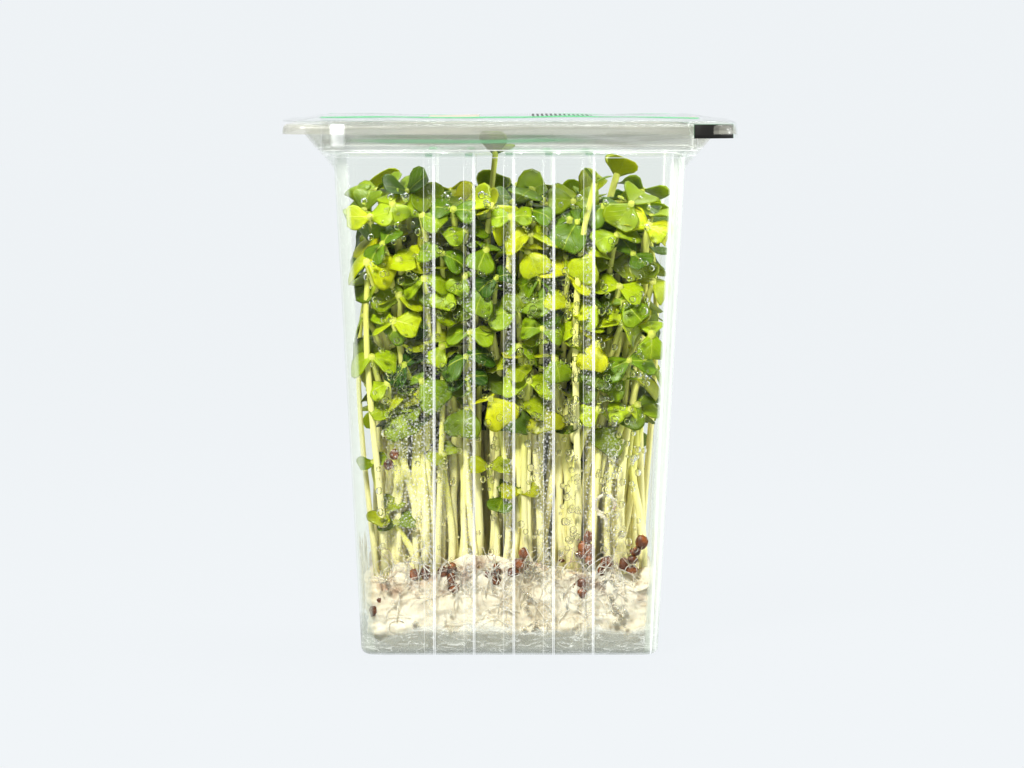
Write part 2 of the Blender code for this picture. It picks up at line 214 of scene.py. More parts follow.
def deselect():
    for piece in bpy.context.view_layer.objects:
        piece.select_set(False)


def join_pieces(pieces):
    """Make one object of several."""
    deselect()
    for piece in pieces:
        piece.select_set(True)
    bpy.context.view_layer.objects.active = pieces[0]
    bpy.ops.object.join()
    return pieces[0]


def wall_half(z):
    """Half width and half depth of the outer walls at height z."""
    rise = (z - EDGE_ROUND) / (LEDGE_Z - EDGE_ROUND)
    return tuple(low + (high - low) * rise for low, high in zip(BASE_HALF, TOP_HALF))


class Value:
    """A socket of a material's node tree that can be used in sums."""

    def __init__(self, shader, socket):
        self.shader = shader
        self.socket = socket

    def math(self, operation, *others):
        return self.shader.node("ShaderNodeMath", {"operation": operation}, (self, *others))

    def __add__(self, other):
        return self.math("ADD", other)

    __radd__ = __add__

    def __sub__(self, other):
        return self.math("SUBTRACT", other)

    def __rsub__(self, other):
        return self.shader.node("ShaderNodeMath", {"operation": "SUBTRACT"}, (other, self))

    def __mul__(self, other):
        return self.math("MULTIPLY", other)

    __rmul__ = __mul__

    def __truediv__(self, other):
        return self.math("DIVIDE", other)

    def __pow__(self, other):
        return self.math("POWER", other)

    def __abs__(self):
        return self.math("ABSOLUTE")

    def below(self, edge, soft=0.0):
        """1 where the value is under edge, 0 above it, with a soft border."""
        return self.between(edge - soft, edge + soft, 1.0, 0.0)

    def above(self, edge, soft=0.0):
        return self.between(edge - soft, edge + soft, 0.0, 1.0)

    def between(self, low, high, first, last):
        """The value mapped from one range to another, smoothly and clamped."""
        settings = {"interpolation_type": "SMOOTHSTEP", "clamp": True}
        return self.shader.node("ShaderNodeMapRange", settings, (self, low, high + 1e-6, first, last))

    def near(self, centre, reach, soft=0.0):
        """1 within reach of a centre, 0 farther off, with a soft border."""
        return abs(self - centre).below(reach, soft)

    def clamped(self):
        return self.shader.node("ShaderNodeClamp", {}, (self, 0.0, 1.0))


class Shader:
    """A material and its node tree."""

    def __init__(self, name):
        self.material = bpy.data.materials.new(name)
        self.material.use_nodes = True
        self.tree = self.material.node_tree
        self.tree.nodes.clear()

    def node(self, kind, settings=None, inputs=(), output=0):
        """A node with its settings, and the values or links of its sockets by place or by name."""
        made = self.tree.nodes.new(kind)
        for name, setting in (settings or {}).items():
            if name == "stops":
                self.set_stops(made.color_ramp, setting)
            else:
                setattr(made, name, setting)
        pairs = inputs.items() if isinstance(inputs, dict) else enumerate(inputs)
        for place, given in pairs:
            if given is None:
                continue
            socket = made.inputs[place]
            if isinstance(given, Value):
                self.tree.links.new(given.socket, socket)
            else:
                socket.default_value = given
        return Value(self, made.outputs[output])

    def set_stops(self, ramp, stops):
        while len(ramp.elements) < len(stops):
            ramp.elements.new(0.5)
        for element, (place, colour) in zip(ramp.elements, stops):
            element.position = place
            element.color = (*colour, 1.0)

    def mix(self, first, last, factor):
        """A colour between two, each given as a tuple or a link."""
        first = (*first, 1.0) if isinstance(first, tuple) else first
        last = (*last, 1.0) if isinstance(last, tuple) else last
        inputs = {0: factor, 6: first, 7: last}
        return self.node("ShaderNodeMix", {"data_type": "RGBA"}, inputs, 2)

    def ramp(self, value, stops):
        return self.node("ShaderNodeValToRGB", {"stops": stops}, (value,))

    def place(self, scale=(1.0, 1.0, 1.0)):
        """Object coordinates, stretched by scale."""
        coordinates = self.node("ShaderNodeTexCoord", {}, (), 3)
        return self.node("ShaderNodeMapping", {}, {0: coordinates, 3: scale})

    def axes(self, vector):
        split = self.tree.nodes.new("ShaderNodeSeparateXYZ")
        self.tree.links.new(vector.socket, split.inputs[0])
        return [Value(self, output) for output in split.outputs]

    def noise(self, vector, scale, detail=3.0, roughness=0.55, distortion=0.0):
        inputs = {"Vector": vector, "Scale": scale, "Detail": detail}
        inputs.update({"Roughness": roughness, "Distortion": distortion})
        return self.node("ShaderNodeTexNoise", {}, inputs)

    def cells(self, vector, scale, randomness=1.0):
        """Distance to the nearest of many scattered points."""
        inputs = {"Vector": vector, "Scale": scale, "Randomness": randomness}
        return self.node("ShaderNodeTexVoronoi", {}, inputs)

    def bump(self, height, strength, distance):
        return self.node("ShaderNodeBump", {}, {"Strength": strength, "Distance": distance, "Height": height})

    def attribute(self, name):
        """The three numbers of a vector that the mesh carries."""
        return self.axes(self.node("ShaderNodeAttribute", {"attribute_name": name}, (), 1))

    def principled(self, **inputs):
        named = {name.replace("_", " "): given for name, given in inputs.items()}
        return self.node("ShaderNodeBsdfPrincipled", {}, named)

    def blend(self, first, last, factor):
        return self.node("ShaderNodeMixShader", {}, (factor, first, last))

    def finish(self, surface):
        out = self.tree.nodes.new("ShaderNodeOutputMaterial")
        self.tree.links.new(surface.socket, out.inputs[0])
        return self.material


def clear_shader(shader, normal, gloss, tint):
    """Clear plastic: what is behind it shows, and it reflects more towards grazing angles."""
    through = shader.node("ShaderNodeBsdfTransparent", {}, ((*tint, 1.0),))
    gleam = {"Color": (1.0, 1.0, 1.0, 1.0), "Roughness": gloss, "Normal": normal}
    shine = shader.node("ShaderNodeBsdfGlossy", {}, gleam)
    turned = shader.node("ShaderNodeLayerWeight", {}, {"Blend": 0.5, "Normal": normal}, 1)
    return shader.blend(through, shine, (turned**5.0 * 0.9 + 0.004).clamped())


def clear_plastic():
    """The tub's sheet, with fine mist inside the ribs and low on the left, painted highlights along the ribs,
    corners, collar and ledge, and a painted grey-green reflection at the corners.
    """
    shader = Shader("clear_plastic")
    place = shader.place()
    x, y, z = shader.axes(place)
    waves = shader.noise(shader.place((60.0, 60.0, 18.0)), 1.0, 2.0)
    normal = shader.bump(waves, 0.25, 0.0005)
    clear = clear_shader(shader, normal, 0.03, (0.972, 0.980, 0.966))
    offset = ((x / RIB_PITCH + 0.5).math("FRACT") - 0.5) * RIB_PITCH
    ribbed = x.near(0.0, RIB_PITCH * 2.4, 0.0002)
    in_rib = offset.near(-0.0001, RIB_HALF * 0.75, RIB_HALF * 0.35) * ribbed
    walls = z.below(LEDGE_Z + 0.0008, 0.0006)
    # Painted highlights: white lines along each rib's right flank and feet, standing in for reflections of
    # the lamp on the right
    rib_highlight = abs(offset - RIB_HIGHLIGHT_SET).near(0.00022, 0.00004, 0.00008) * 0.74
    rib_highlight = rib_highlight + offset.near(RIB_HIGHLIGHT_SET, 0.00020, 0.00015) * 0.22
    rib_highlight = rib_highlight + offset.near(-0.00140, 0.00006, 0.00006) * 0.20
    slopes = [(high - low) / (LEDGE_Z - EDGE_ROUND) for low, high in zip(BASE_HALF, TOP_HALF)]
    inset = (z * slopes[0] + BASE_HALF[0]) - abs(x)
    # Painted highlights along the body's corners, much stronger on the right, where the strip lamp is
    # reflected
    line = inset.near(z * 0.012 + 0.0018, 0.00016, 0.00014)
    right = x.above(0.0, 0.001)
    wide = inset.near(z * 0.012 + 0.0015, 0.0009, 0.0003)
    corner = line * (right * 0.70 + 0.04) + wide * (right * 0.09 + 0.02)
    corner = corner + inset.near(0.0007, 0.0003, 0.0004) * (right * 0.22 + 0.06)
    front = y.below(-0.010, 0.001)
    # All the painted highlights together, stronger on the front
    edges = (rib_highlight * ribbed * walls + corner * walls) * (front * 0.6 + 0.4)
    # Painted highlights: white lines along the collar and the ledge, and a painted highlight patch on the
    # left of the collar
    ledge_highlight = z.near(COLLAR_Z + 0.0002, 0.00012, 0.00012) * 0.42
    ledge_highlight = ledge_highlight + z.near(LEDGE_Z, 0.00010, 0.00010) * 0.36
    ledge_highlight = ledge_highlight + x.near(-0.0410, 0.0015, 0.0006) * z.above(0.1234, 0.0004) * front * 0.50
    patch = x.near(-0.0225, 0.006, 0.006) * z.near(0.044, 0.018, 0.014)
    patch = patch + x.near(0.0080, 0.0016, 0.0014) * z.near(0.040, 0.015, 0.006)
    patch = patch + x.near(0.0245, 0.0018, 0.0016) * z.near(0.040, 0.014, 0.006)
    low = z.below(0.105, 0.02) * z.above(0.004, 0.002)
    drift = shader.noise(place, 70.0, 3.0).between(0.50, 0.70, 0.0, 1.0)
    where = (in_rib * 0.85 + patch * 1.0 + drift * 0.14).clamped() * low * (front * 0.8 + 0.2)
    beads = shader.cells(place, 1200.0).below(0.27, 0.08)
    specks = shader.cells(place, 2600.0).below(0.32, 0.10)
    mist = (beads * 0.75 + specks * 0.45) * where
    blur = shader.noise(shader.place((250.0, 250.0, 380.0)), 1.0, 4.0, 0.65)
    film = blur.between(0.38, 0.62, 0.24, 0.48) + specks * 0.20
    shore = shader.noise(shader.place((85.0, 85.0, 20.0)), 1.0, 3.0)
    ripples = shader.noise(shader.place((130.0, 130.0, 520.0)), 1.0, 3.0, 0.6, 1.2)
    ripples = ripples.near(0.52, 0.012, 0.014) * 0.8
    wet = (z - x * 0.03 + (shore - 0.5) * 0.012).below(0.0064, 0.0007)
    wet = wet * (film * (shore * 0.9 + 0.52) + ripples * 0.35)
    wet_colour = shader.mix((0.40, 0.42, 0.37), (0.84, 0.86, 0.82), ripples)
    mist_colour = shader.mix((0.74, 0.76, 0.70), wet_colour, z.below(0.0060, 0.0008))
    haze = shader.principled(Base_Color=mist_colour, Roughness=0.30)
    misty = shader.blend(clear, haze, (mist * 0.62 + wet).clamped())
    # A white, faintly glowing surface for the painted highlights
    painted_highlight_white = shader.principled(
        Base_Color=(0.92, 0.94, 0.94, 1.0),
        Roughness=0.25,
        Emission_Color=(1.0, 1.0, 1.0, 1.0),
        Emission_Strength=0.22,
    )
    rim_grey = shader.principled(Base_Color=(0.40, 0.40, 0.35, 1.0), Roughness=0.25)
    folds = shader.noise(shader.place((30.0, 30.0, 420.0)), 1.0, 3.0).between(0.48, 0.62, 0.0, 0.22)
    misty = shader.blend(misty, rim_grey, z.above(COLLAR_Z, 0.0004) * (folds + 0.20))
    # Painted reflection: a grey-green band along the corners, stronger on the right, standing in for the side
    # walls seen at a grazing angle
    bend = (y + (z * slopes[1] + BASE_HALF[1])).below(0.0045, 0.0010) * inset.below(0.0034, 0.0004) * walls
    painted_reflection_grey = shader.principled(Base_Color=(0.56, 0.62, 0.54, 1.0), Roughness=0.25)
    misty = shader.blend(misty, painted_reflection_grey, bend * (right * 0.22 + 0.20))
    streak = shader.noise(shader.place((25.0, 25.0, 160.0)), 1.0, 2.0)
    sway = z + streak * 0.0016
    green = sway.near(0.1254, 0.00045, 0.0004) * x.near(-0.010, 0.024, 0.010)
    low_green = sway.near(0.1222, 0.00030, 0.0005) * x.near(0.0, 0.0240, 0.004)
    green = green + low_green * in_rib.between(0.0, 1.0, 0.25, 1.0)
    tinted = shader.principled(Base_Color=(0.22, 0.52, 0.30, 1.0), Roughness=0.25)
    misty = shader.blend(misty, tinted, green * 0.55)
    # The painted highlights are laid over everything else
    return shader.finish(shader.blend(misty, painted_highlight_white, (edges + ledge_highlight).clamped()))


def printed_film():
    """Clear film with a plain generic print: green bands, a thin red line, a beige panel and dark bars."""
    shader = Shader("printed_film")
    place = shader.place()
    x, y, z = shader.axes(place)
    waves = shader.noise(shader.place((40.0, 55.0, 40.0)), 1.0, 3.0)
    normal = shader.bump(waves, 0.5, 0.0012)
    clear = clear_shader(shader, normal, 0.06, (0.97, 0.985, 0.975))
    edge = FLANGE_HALF[1]
    ahead = y + edge
    wander = shader.noise(place, 45.0, 2.0) * 0.004
    band = (ahead + wander).near(0.0112, 0.0024, 0.0004)
    band_back = (edge - y).near(0.012, 0.0030, 0.0004)
    thin = ahead.near(0.0170, 0.0005, 0.0001)
    panel = x.near(-0.0135, 0.0061, 0.0002) * y.near(0.0, 0.024, 0.0003)
    bars = (x / 0.0011).math("FRACT").below(0.52, 0.05) * x.near(0.0125, 0.0075, 0.0001)
    bars = bars * y.near(-0.006, 0.0260, 0.0003)
    dots = (x / 0.0023).math("FRACT").below(0.45, 0.05) * x.near(0.0255, 0.0045, 0.0001)
    dots = dots * y.near(-0.030, 0.0018, 0.0002)
    inside = x.near(0.0, COLLAR_HALF[0], 0.0005)
    ink = shader.mix((0.03, 0.30, 0.10), (0.55, 0.10, 0.09), thin)
    ink = shader.mix(ink, (0.34, 0.30, 0.22), panel)
    ink = shader.mix(ink, (0.02, 0.02, 0.02), (bars + dots).clamped())
    cover = ((band + band_back) * 0.85 + thin + panel * 0.7 + (bars + dots) * 0.9).clamped() * inside
    mark = x.above(0.0439, 0.0001) * x.below(0.0534, 0.0001)
    mark = mark * y.below(-0.0300, 0.0010) * z.below(0.1287, 0.0001)
    ink = shader.mix(ink, (0.006, 0.006, 0.005), mark)
    paint = shader.principled(Base_Color=ink, Roughness=0.55, Specular_IOR_Level=0.2)
    return shader.finish(shader.blend(clear, paint, (cover + mark).clamped()))


def sprout_material():
    """Pale stems that turn green upward, and two-lobed seed leaves with fine veins, both darkened as painted
    shade towards the middle of the tub.
    """
    shader = Shader("sprout")
    across, along, leaf = shader.attribute("place")
    age, shade, rise = shader.attribute("tone")
    place = shader.place()
    mottle = shader.noise(place, 420.0, 3.0)
    broad = shader.noise(place, 120.0, 2.0)
    green = shader.ramp(
        (age + (broad - 0.5) * 0.35).clamped(),
        (
            (0.0, (0.022, 0.072, 0.002)),
            (0.30, (0.112, 0.212, 0.001)),
            (0.62, (0.340, 0.455, 0.001)),
            (1.0, (0.520, 0.535, 0.002)),
        ),
    )
    midrib = across.near(0.0, 0.035, 0.035)
    slant = (along * 5.2 - abs(across) * 2.6).math("FRACT")
    veins = slant.near(0.5, 0.045, 0.05) * across.near(0.0, 0.75, 0.2)
    light = shader.mix(green, (0.52, 0.60, 0.05), (midrib * 0.45 + veins * 0.18).clamped())
    dark = shader.mix(light, (0.03, 0.08, 0.005), (mottle.between(0.50, 0.75, 0.0, 0.35)))
    stem_low = shader.mix((0.92, 0.86, 0.44), (0.88, 0.86, 0.22), rise.between(0.20, 0.70, 0.0, 1.0))
    greener = (rise.between(0.65, 1.0, 0.0, 0.8) * (1.15 - age * 0.6)).clamped()
    stem = shader.mix(stem_low, (0.36, 0.44, 0.03), greener)
    streak = shader.noise(shader.place((900.0, 900.0, 60.0)), 1.0, 2.0)
    stem = shader.mix(stem, (0.56, 0.50, 0.17), streak.between(0.55, 0.80, 0.0, 0.45))
    colour = shader.mix(stem, dark, leaf)
    # Painted shade: the colour is darkened towards black where the shade value is low, inside the canopy
    colour = shader.mix(colour, (0.004, 0.012, 0.0), (1.0 - shade) * 0.97)
    height = mottle * 0.5 + veins * 0.6 * leaf + midrib * leaf * -0.6
    return shader.finish(
        shader.principled(
            Base_Color=colour,
            Roughness=(0.44 - leaf * 0.08 + mottle * 0.08),
            Specular_IOR_Level=0.22,
            Normal=shader.bump(height, 0.45, 0.00025),
            Subsurface_Weight=0.15,
            Subsurface_Radius=(0.9, 1.0, 0.2),
            Subsurface_Scale=0.0010,
            Coat_Weight=0.02,
            Coat_Roughness=0.12,
        )
    )


def root_material():
    """Cream white roots, browner in places and slightly translucent."""
    shader = Shader("root")
    place = shader.place()
    fine = shader.noise(place, 900.0, 4.0, 0.7)
    broad = shader.noise(place, 90.0, 3.0)
    z = shader.axes(place)[2]
    blotch = shader.noise(place, 150.0, 2.0).between(0.52, 0.68, 0.0, 1.0)
    colour = shader.mix((0.80, 0.74, 0.61), (0.66, 0.57, 0.41), broad.between(0.40, 0.70, 0.0, 1.0))
    colour = shader.mix(colour, (0.30, 0.14, 0.065), blotch * z.above(0.0135, 0.0035) * 0.75)
    colour = shader.mix(colour, (0.42, 0.30, 0.15), fine.between(0.60, 0.82, 0.0, 0.20))
    strands = shader.noise(shader.place((700.0, 700.0, 160.0)), 1.0, 4.0, 0.65, 1.5)
    colour = shader.mix(colour, (0.90, 0.86, 0.77), strands.between(0.52, 0.66, 0.0, 0.50))
    return shader.finish(
        shader.principled(
            Base_Color=colour,
            Roughness=0.75,
            Normal=shader.bump(strands + fine * 0.5, 0.35, 0.0005),
            Subsurface_Weight=0.55,
            Subsurface_Radius=(1.0, 0.9, 0.7),
            Subsurface_Scale=0.0018,
            Sheen_Weight=0.4,
        )
    )


def hull_material():
    """Red brown seed coats, darker in broad patches, with lighter flecks painted as highlights."""
    shader = Shader("seed_hull")
    place = shader.place()
    fine = shader.noise(place, 1400.0, 3.0)
    broad = shader.noise(place, 350.0, 2.0)
    colour = shader.mix((0.27, 0.070, 0.008), (0.085, 0.020, 0.003), broad.between(0.36, 0.58, 0.0, 1.0))
    # Painted highlight: small lighter flecks standing in for the glints on the glossy coats
    colour = shader.mix(colour, (0.50, 0.20, 0.035), fine.between(0.56, 0.78, 0.0, 0.45))
    return shader.finish(
        shader.principled(
            Base_Color=colour,
            Roughness=0.38,
            Normal=shader.bump(fine, 0.6, 0.0003),
            Coat_Weight=0.3,
        )
    )


def water_material():
    """Clear water that bends what is behind it, with a painted dark rim at its edges."""
    shader = Shader("water")
    glass = shader.principled(
        Base_Color=(1.0, 1.0, 1.0, 1.0), Roughness=0.0, IOR=1.33, Transmission_Weight=1.0
    )
    turned = shader.node("ShaderNodeLayerWeight", {}, {"Blend": 0.5}, 1)
    # Painted shade: a dark green diffuse rim towards each drop's edges, standing in for the dark ring that a
    # drop's edge bends in
    painted_dark_rim = shader.principled(Base_Color=(0.10, 0.13, 0.05, 1.0), Roughness=0.2)
    return shader.finish(shader.blend(glass, painted_dark_rim, turned.between(0.40, 0.85, 0.0, 0.75)))


def finish_piece(piece, name, material, nodes=()):
    """Name a finished piece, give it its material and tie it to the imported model."""
    piece.name = name
    piece.data.name = name
    piece.data.materials.clear()
    piece.data.materials.append(material)
    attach(piece, "root")
    if nodes:
        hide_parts(*nodes)


def put_down():
    """Apply the active piece's place, turn and scale, so that its place is in its mesh."""
    bpy.ops.object.transform_apply(location=True, rotation=True, scale=True)


def cut_columns(places, direction):
    """Cut the selected flat face along lines at the given places, across a direction."""
    for place in places:
        bpy.ops.mesh.select_all(action="SELECT")
        spot = tuple(place * part for part in direction)
        bpy.ops.mesh.bisect(plane_co=spot, plane_no=direction)


def rib_columns():
    """Where the ribs' facets stand along the front wall."""
    centres = [(rib - (RIB_COUNT - 1) / 2) * RIB_PITCH for rib in range(RIB_COUNT)]
    return [centre + RIB_FOOT * share for centre in centres for share in RIB_SHARES]


def rib_rise(offset):
    """Height of a rib's flat top and sloped flanks at an offset from its middle."""
    share = min(max((1.0 - abs(offset) / RIB_FOOT) / (1.0 - RIB_FLAT), 0.0), 1.0)
    return RIB_RISE * share * share * (3 - 2 * share)


def lug_columns():
    return [LUG_HALF * (2 * step / LUG_STEPS - 1) for step in range(LUG_STEPS + 1)]


def tub_levels():
    """Heights of the tub's rings with their half width and half depth, from the base edge to the lip."""
    levels = []
    for step in range(1, 6):
        angle = math.pi / 2 * step / 5
        inset = EDGE_ROUND * (1 - math.sin(angle))
        levels.append((EDGE_ROUND * (1 - math.cos(angle)), BASE_HALF[0] - inset, BASE_HALF[1] - inset))
    for z in (0.030, 0.060, 0.090, LUG_Z, 0.1185):
        levels.append((z, *wall_half(z)))
    for step in range(6):
        share = step / 5
        eased = share * share * (3 - 2 * share)
        z = LEDGE_Z + (COLLAR_Z - LEDGE_Z) * share
        size = [top + (collar - top) * eased for top, collar in zip(TOP_HALF, COLLAR_HALF)]
        levels.append((z, *size))
    levels.append((0.1240, *COLLAR_HALF))
    levels.append((LUG_TOP_Z, *COLLAR_HALF))
    for step in range(4):
        angle = math.pi / 2 * step / 3
        out = 0.0006 * (1 - math.cos(angle))
        levels.append((FLANGE_Z - 0.0006 * (1 - math.sin(angle)), COLLAR_HALF[0] + out, COLLAR_HALF[1] + out))
    levels.append((FLANGE_Z, COLLAR_HALF[0] + 0.0035, COLLAR_HALF[1] + 0.0030))
    for step in range(4):
        angle = math.pi / 2 * step / 3
        inset = 0.0007 * (1 - math.sin(angle))
        z = FLANGE_Z - 0.0007 * (1 - math.cos(angle))
        levels.append((z, FLANGE_HALF[0] - inset, FLANGE_HALF[1] - inset))
    levels.append((FLANGE_Z - LIP_DROP, FLANGE_HALF[0] + 0.0001, FLANGE_HALF[1] + 0.0001))
    return levels


def lug_rise(z, half_x):
    """How far the middle of a side lug stands out from a ring of the tub."""
    if z <= LUG_Z:
        return 0.0
    share = min((z - LUG_Z) / (LUG_TOP_Z - LUG_Z), 1.0)
    reach = wall_half(LUG_Z)[0] + (COLLAR_HALF[0] + LUG_RISE - wall_half(LUG_Z)[0]) * share
    reach += max(half_x - COLLAR_HALF[0], 0.0) * 0.2
    return max(reach - half_x, 0.0)


def shape_ribs_and_lugs(mesh, levels):
    """Push the ribs and lugs out of the flat walls, upright whatever the walls' slope."""
    start = (BASE_HALF[0] - EDGE_ROUND, BASE_HALF[1] - EDGE_ROUND)
    ribs = rib_columns()
    lugs = lug_columns()
    rings = {round(z, 6): (half_x, half_y) for z, half_x, half_y in levels}
    for vert in mesh.vertices:
        if vert.co.z < 1e-5:
            continue
        key = min(rings, key=lambda z: abs(z - vert.co.z))
        candidates = [size for z, *size in levels if abs(z - vert.co.z) < 2e-6]
        sizes = candidates or [rings[key]]
        half_x, half_y = min(sizes, key=lambda s: min(abs(abs(vert.co.x) - s[0]), abs(abs(vert.co.y) - s[1])))
        first_x = vert.co.x * start[0] / half_x
        first_y = vert.co.y * start[1] / half_y
        column = min(ribs, key=lambda x: abs(x - first_x))
        if abs(abs(vert.co.y) - half_y) < 1e-5 and abs(column - first_x) < 1e-5:
            vert.co.x = column
            centre = min(range(RIB_COUNT), key=lambda rib: abs((rib - 2) * RIB_PITCH - column))
            rise = rib_rise(column - (centre - 2) * RIB_PITCH) * min(vert.co.z / EDGE_ROUND, 1.0)
            wall = wall_half(max(vert.co.z, EDGE_ROUND))[1] if vert.co.z > EDGE_ROUND else half_y
            vert.co.y = math.copysign(max(half_y, wall + rise), vert.co.y)
        row = min(lugs, key=lambda y: abs(y - first_y))
        if abs(abs(vert.co.x) - half_x) < 1e-5 and abs(row - first_y) < 1e-5:
            vert.co.y = row
            swell = math.cos(math.pi / 2 * row / LUG_HALF) if abs(row) < LUG_HALF * 0.999 else 0.0
            vert.co.x += math.copysign(lug_rise(vert.co.z, half_x) * swell**0.6, vert.co.x)


def make_tub(material):
    """The clear tub: a base face with round corners, drawn up ring by ring and thickened."""
    deselect()
    bpy.ops.mesh.primitive_plane_add(size=2.0, location=(0.0, 0.0, 0.0))
    tub = bpy.context.active_object
    start = (BASE_HALF[0] - EDGE_ROUND, BASE_HALF[1] - EDGE_ROUND)
    tub.scale = (start[0], start[1], 1.0)
    put_down()
    bpy.ops.object.mode_set(mode="EDIT")
    bpy.ops.mesh.select_all(action="SELECT")
    bpy.ops.mesh.bevel(affect="VERTICES", offset=BODY_CORNER - EDGE_ROUND, segments=8, profile=0.5)
    cut_columns(rib_columns(), (1.0, 0.0, 0.0))
    cut_columns(lug_columns(), (0.0, 1.0, 0.0))
    bpy.ops.mesh.select_mode(type="EDGE")
    bpy.ops.mesh.select_all(action="DESELECT")
    bpy.ops.mesh.select_non_manifold(extend=False, use_boundary=True)
    levels = tub_levels()
    half_x, half_y = start
    height = 0.0
    for z, next_x, next_y in levels:
        bpy.ops.mesh.extrude_edges_move(TRANSFORM_OT_translate={"value": (0.0, 0.0, z - height)})
        bpy.ops.transform.resize(value=(next_x / half_x, next_y / half_y, 1.0), center_override=(0.0, 0.0, z))
        height, half_x, half_y = z, next_x, next_y
    bpy.ops.object.mode_set(mode="OBJECT")
    shape_ribs_and_lugs(tub.data, levels)
    bpy.ops.object.mode_set(mode="EDIT")
    bpy.ops.mesh.select_all(action="SELECT")
    bpy.ops.mesh.normals_make_consistent(inside=False)
    bpy.ops.object.mode_set(mode="OBJECT")
    sheet = tub.modifiers.new("sheet", "SOLIDIFY")
    sheet.thickness = THIN_SHEET
    sheet.offset = inward_offset(tub.data)
    sheet.use_even_offset = True
    bpy.ops.object.modifier_apply(modifier="sheet")
    bpy.ops.object.shade_smooth_by_angle(angle=math.radians(40))
    finish_piece(tub, "tub_sheet", material, ("tub",))


def edge_is_open(mesh, edge):
    """True for an edge that only one face uses."""
    return sum(edge.key in face.edge_keys for face in mesh.polygons) == 1


def inward_offset(mesh):
    """The Solidify offset that thickens a wall towards the middle of the tub."""
    wall = max(mesh.polygons, key=lambda face: face.center.x if face.center.z < LUG_Z else -1.0)
    return -1.0 if wall.normal.x > 0 else 1.0


def make_film(material):
    """The film sealed on the flange, drawn a little slack, with its pull corner hanging."""
    half_x = FLANGE_HALF[0] + SHEET
    half_y = FLANGE_HALF[1] + SHEET
    base_z = FLANGE_Z + SHEET + GAP + FILM / 2
    deselect()
    bpy.ops.mesh.primitive_plane_add(size=2.0, location=(0.0, 0.0, base_z))
    film = bpy.context.active_object
    film.scale = (half_x, half_y, 1.0)
    put_down()
    bpy.ops.object.mode_set(mode="EDIT")
    bpy.ops.mesh.select_all(action="SELECT")
    bpy.ops.mesh.bevel(affect="VERTICES", offset=FLANGE_CORNER + SHEET, segments=10, profile=0.5)
    columns = [half_x * (2 * step / 36 - 1) for step in range(1, 36)]
    rows = [half_y * (2 * step / 28 - 1) for step in range(1, 28)]
    cut_columns(columns, (1.0, 0.0, 0.0))
    cut_columns(rows, (0.0, 1.0, 0.0))
    bpy.ops.mesh.select_mode(type="EDGE")
    bpy.ops.mesh.select_all(action="DESELECT")
    bpy.ops.object.mode_set(mode="OBJECT")
    for edge in film.data.edges:
        ends = [film.data.vertices[index].co for index in edge.vertices]
        middle = (ends[0] + ends[1]) / 2
        edge.select = edge_is_open(film.data, edge) and middle.x > PULL_LEFT and middle.y < -0.0350
    bpy.ops.object.mode_set(mode="EDIT")
    for out, drop in ((0.0003, 0.0006), (0.0002, 0.0012), (0.0001, 0.0012), (0.0, 0.0010)):
        bpy.ops.mesh.extrude_edges_move(TRANSFORM_OT_translate={"value": (out * 0.7, -out * 0.7, -drop)})
    bpy.ops.object.mode_set(mode="OBJECT")
    for vert in film.data.vertices:
        if vert.co.z < base_z - 1e-5:
            continue
        inset = min(half_x - abs(vert.co.x), half_y - abs(vert.co.y))
        share = min(max((inset - 0.0015) / 0.0080, 0.0), 1.0)
        spot = Vector((vert.co.x * 38.0, vert.co.y * 38.0, 3.0))
        slack = noise.noise(spot) * 0.0005 + noise.noise(spot * 2.7) * 0.00018
        vert.co.z += FILM_DOME * math.sin(math.pi / 2 * share) ** 2 + slack * (0.15 + 0.85 * share)
        if inset < 0.002:
            vert.co.z += 0.00025 * math.sin(vert.co.x * 420.0) * (1 - inset / 0.002)
    sheet = film.modifiers.new("sheet", "SOLIDIFY")
    sheet.thickness = THIN_FILM
    bpy.ops.object.modifier_apply(modifier="sheet")
    bpy.ops.object.shade_smooth()
    finish_piece(film, "film_sheet", material, ("lid_film",))


def bunch_places():
    """Centres of the bunches, in rows that are set off from each other by half a step."""
    places = []
    for row, count in enumerate(ROWS):
        y = (row - (len(ROWS) - 1) / 2) * PITCH_Y
        for column in range(count):
            places.append(((column - (count - 1) / 2) * PITCH_X, y))
    return places


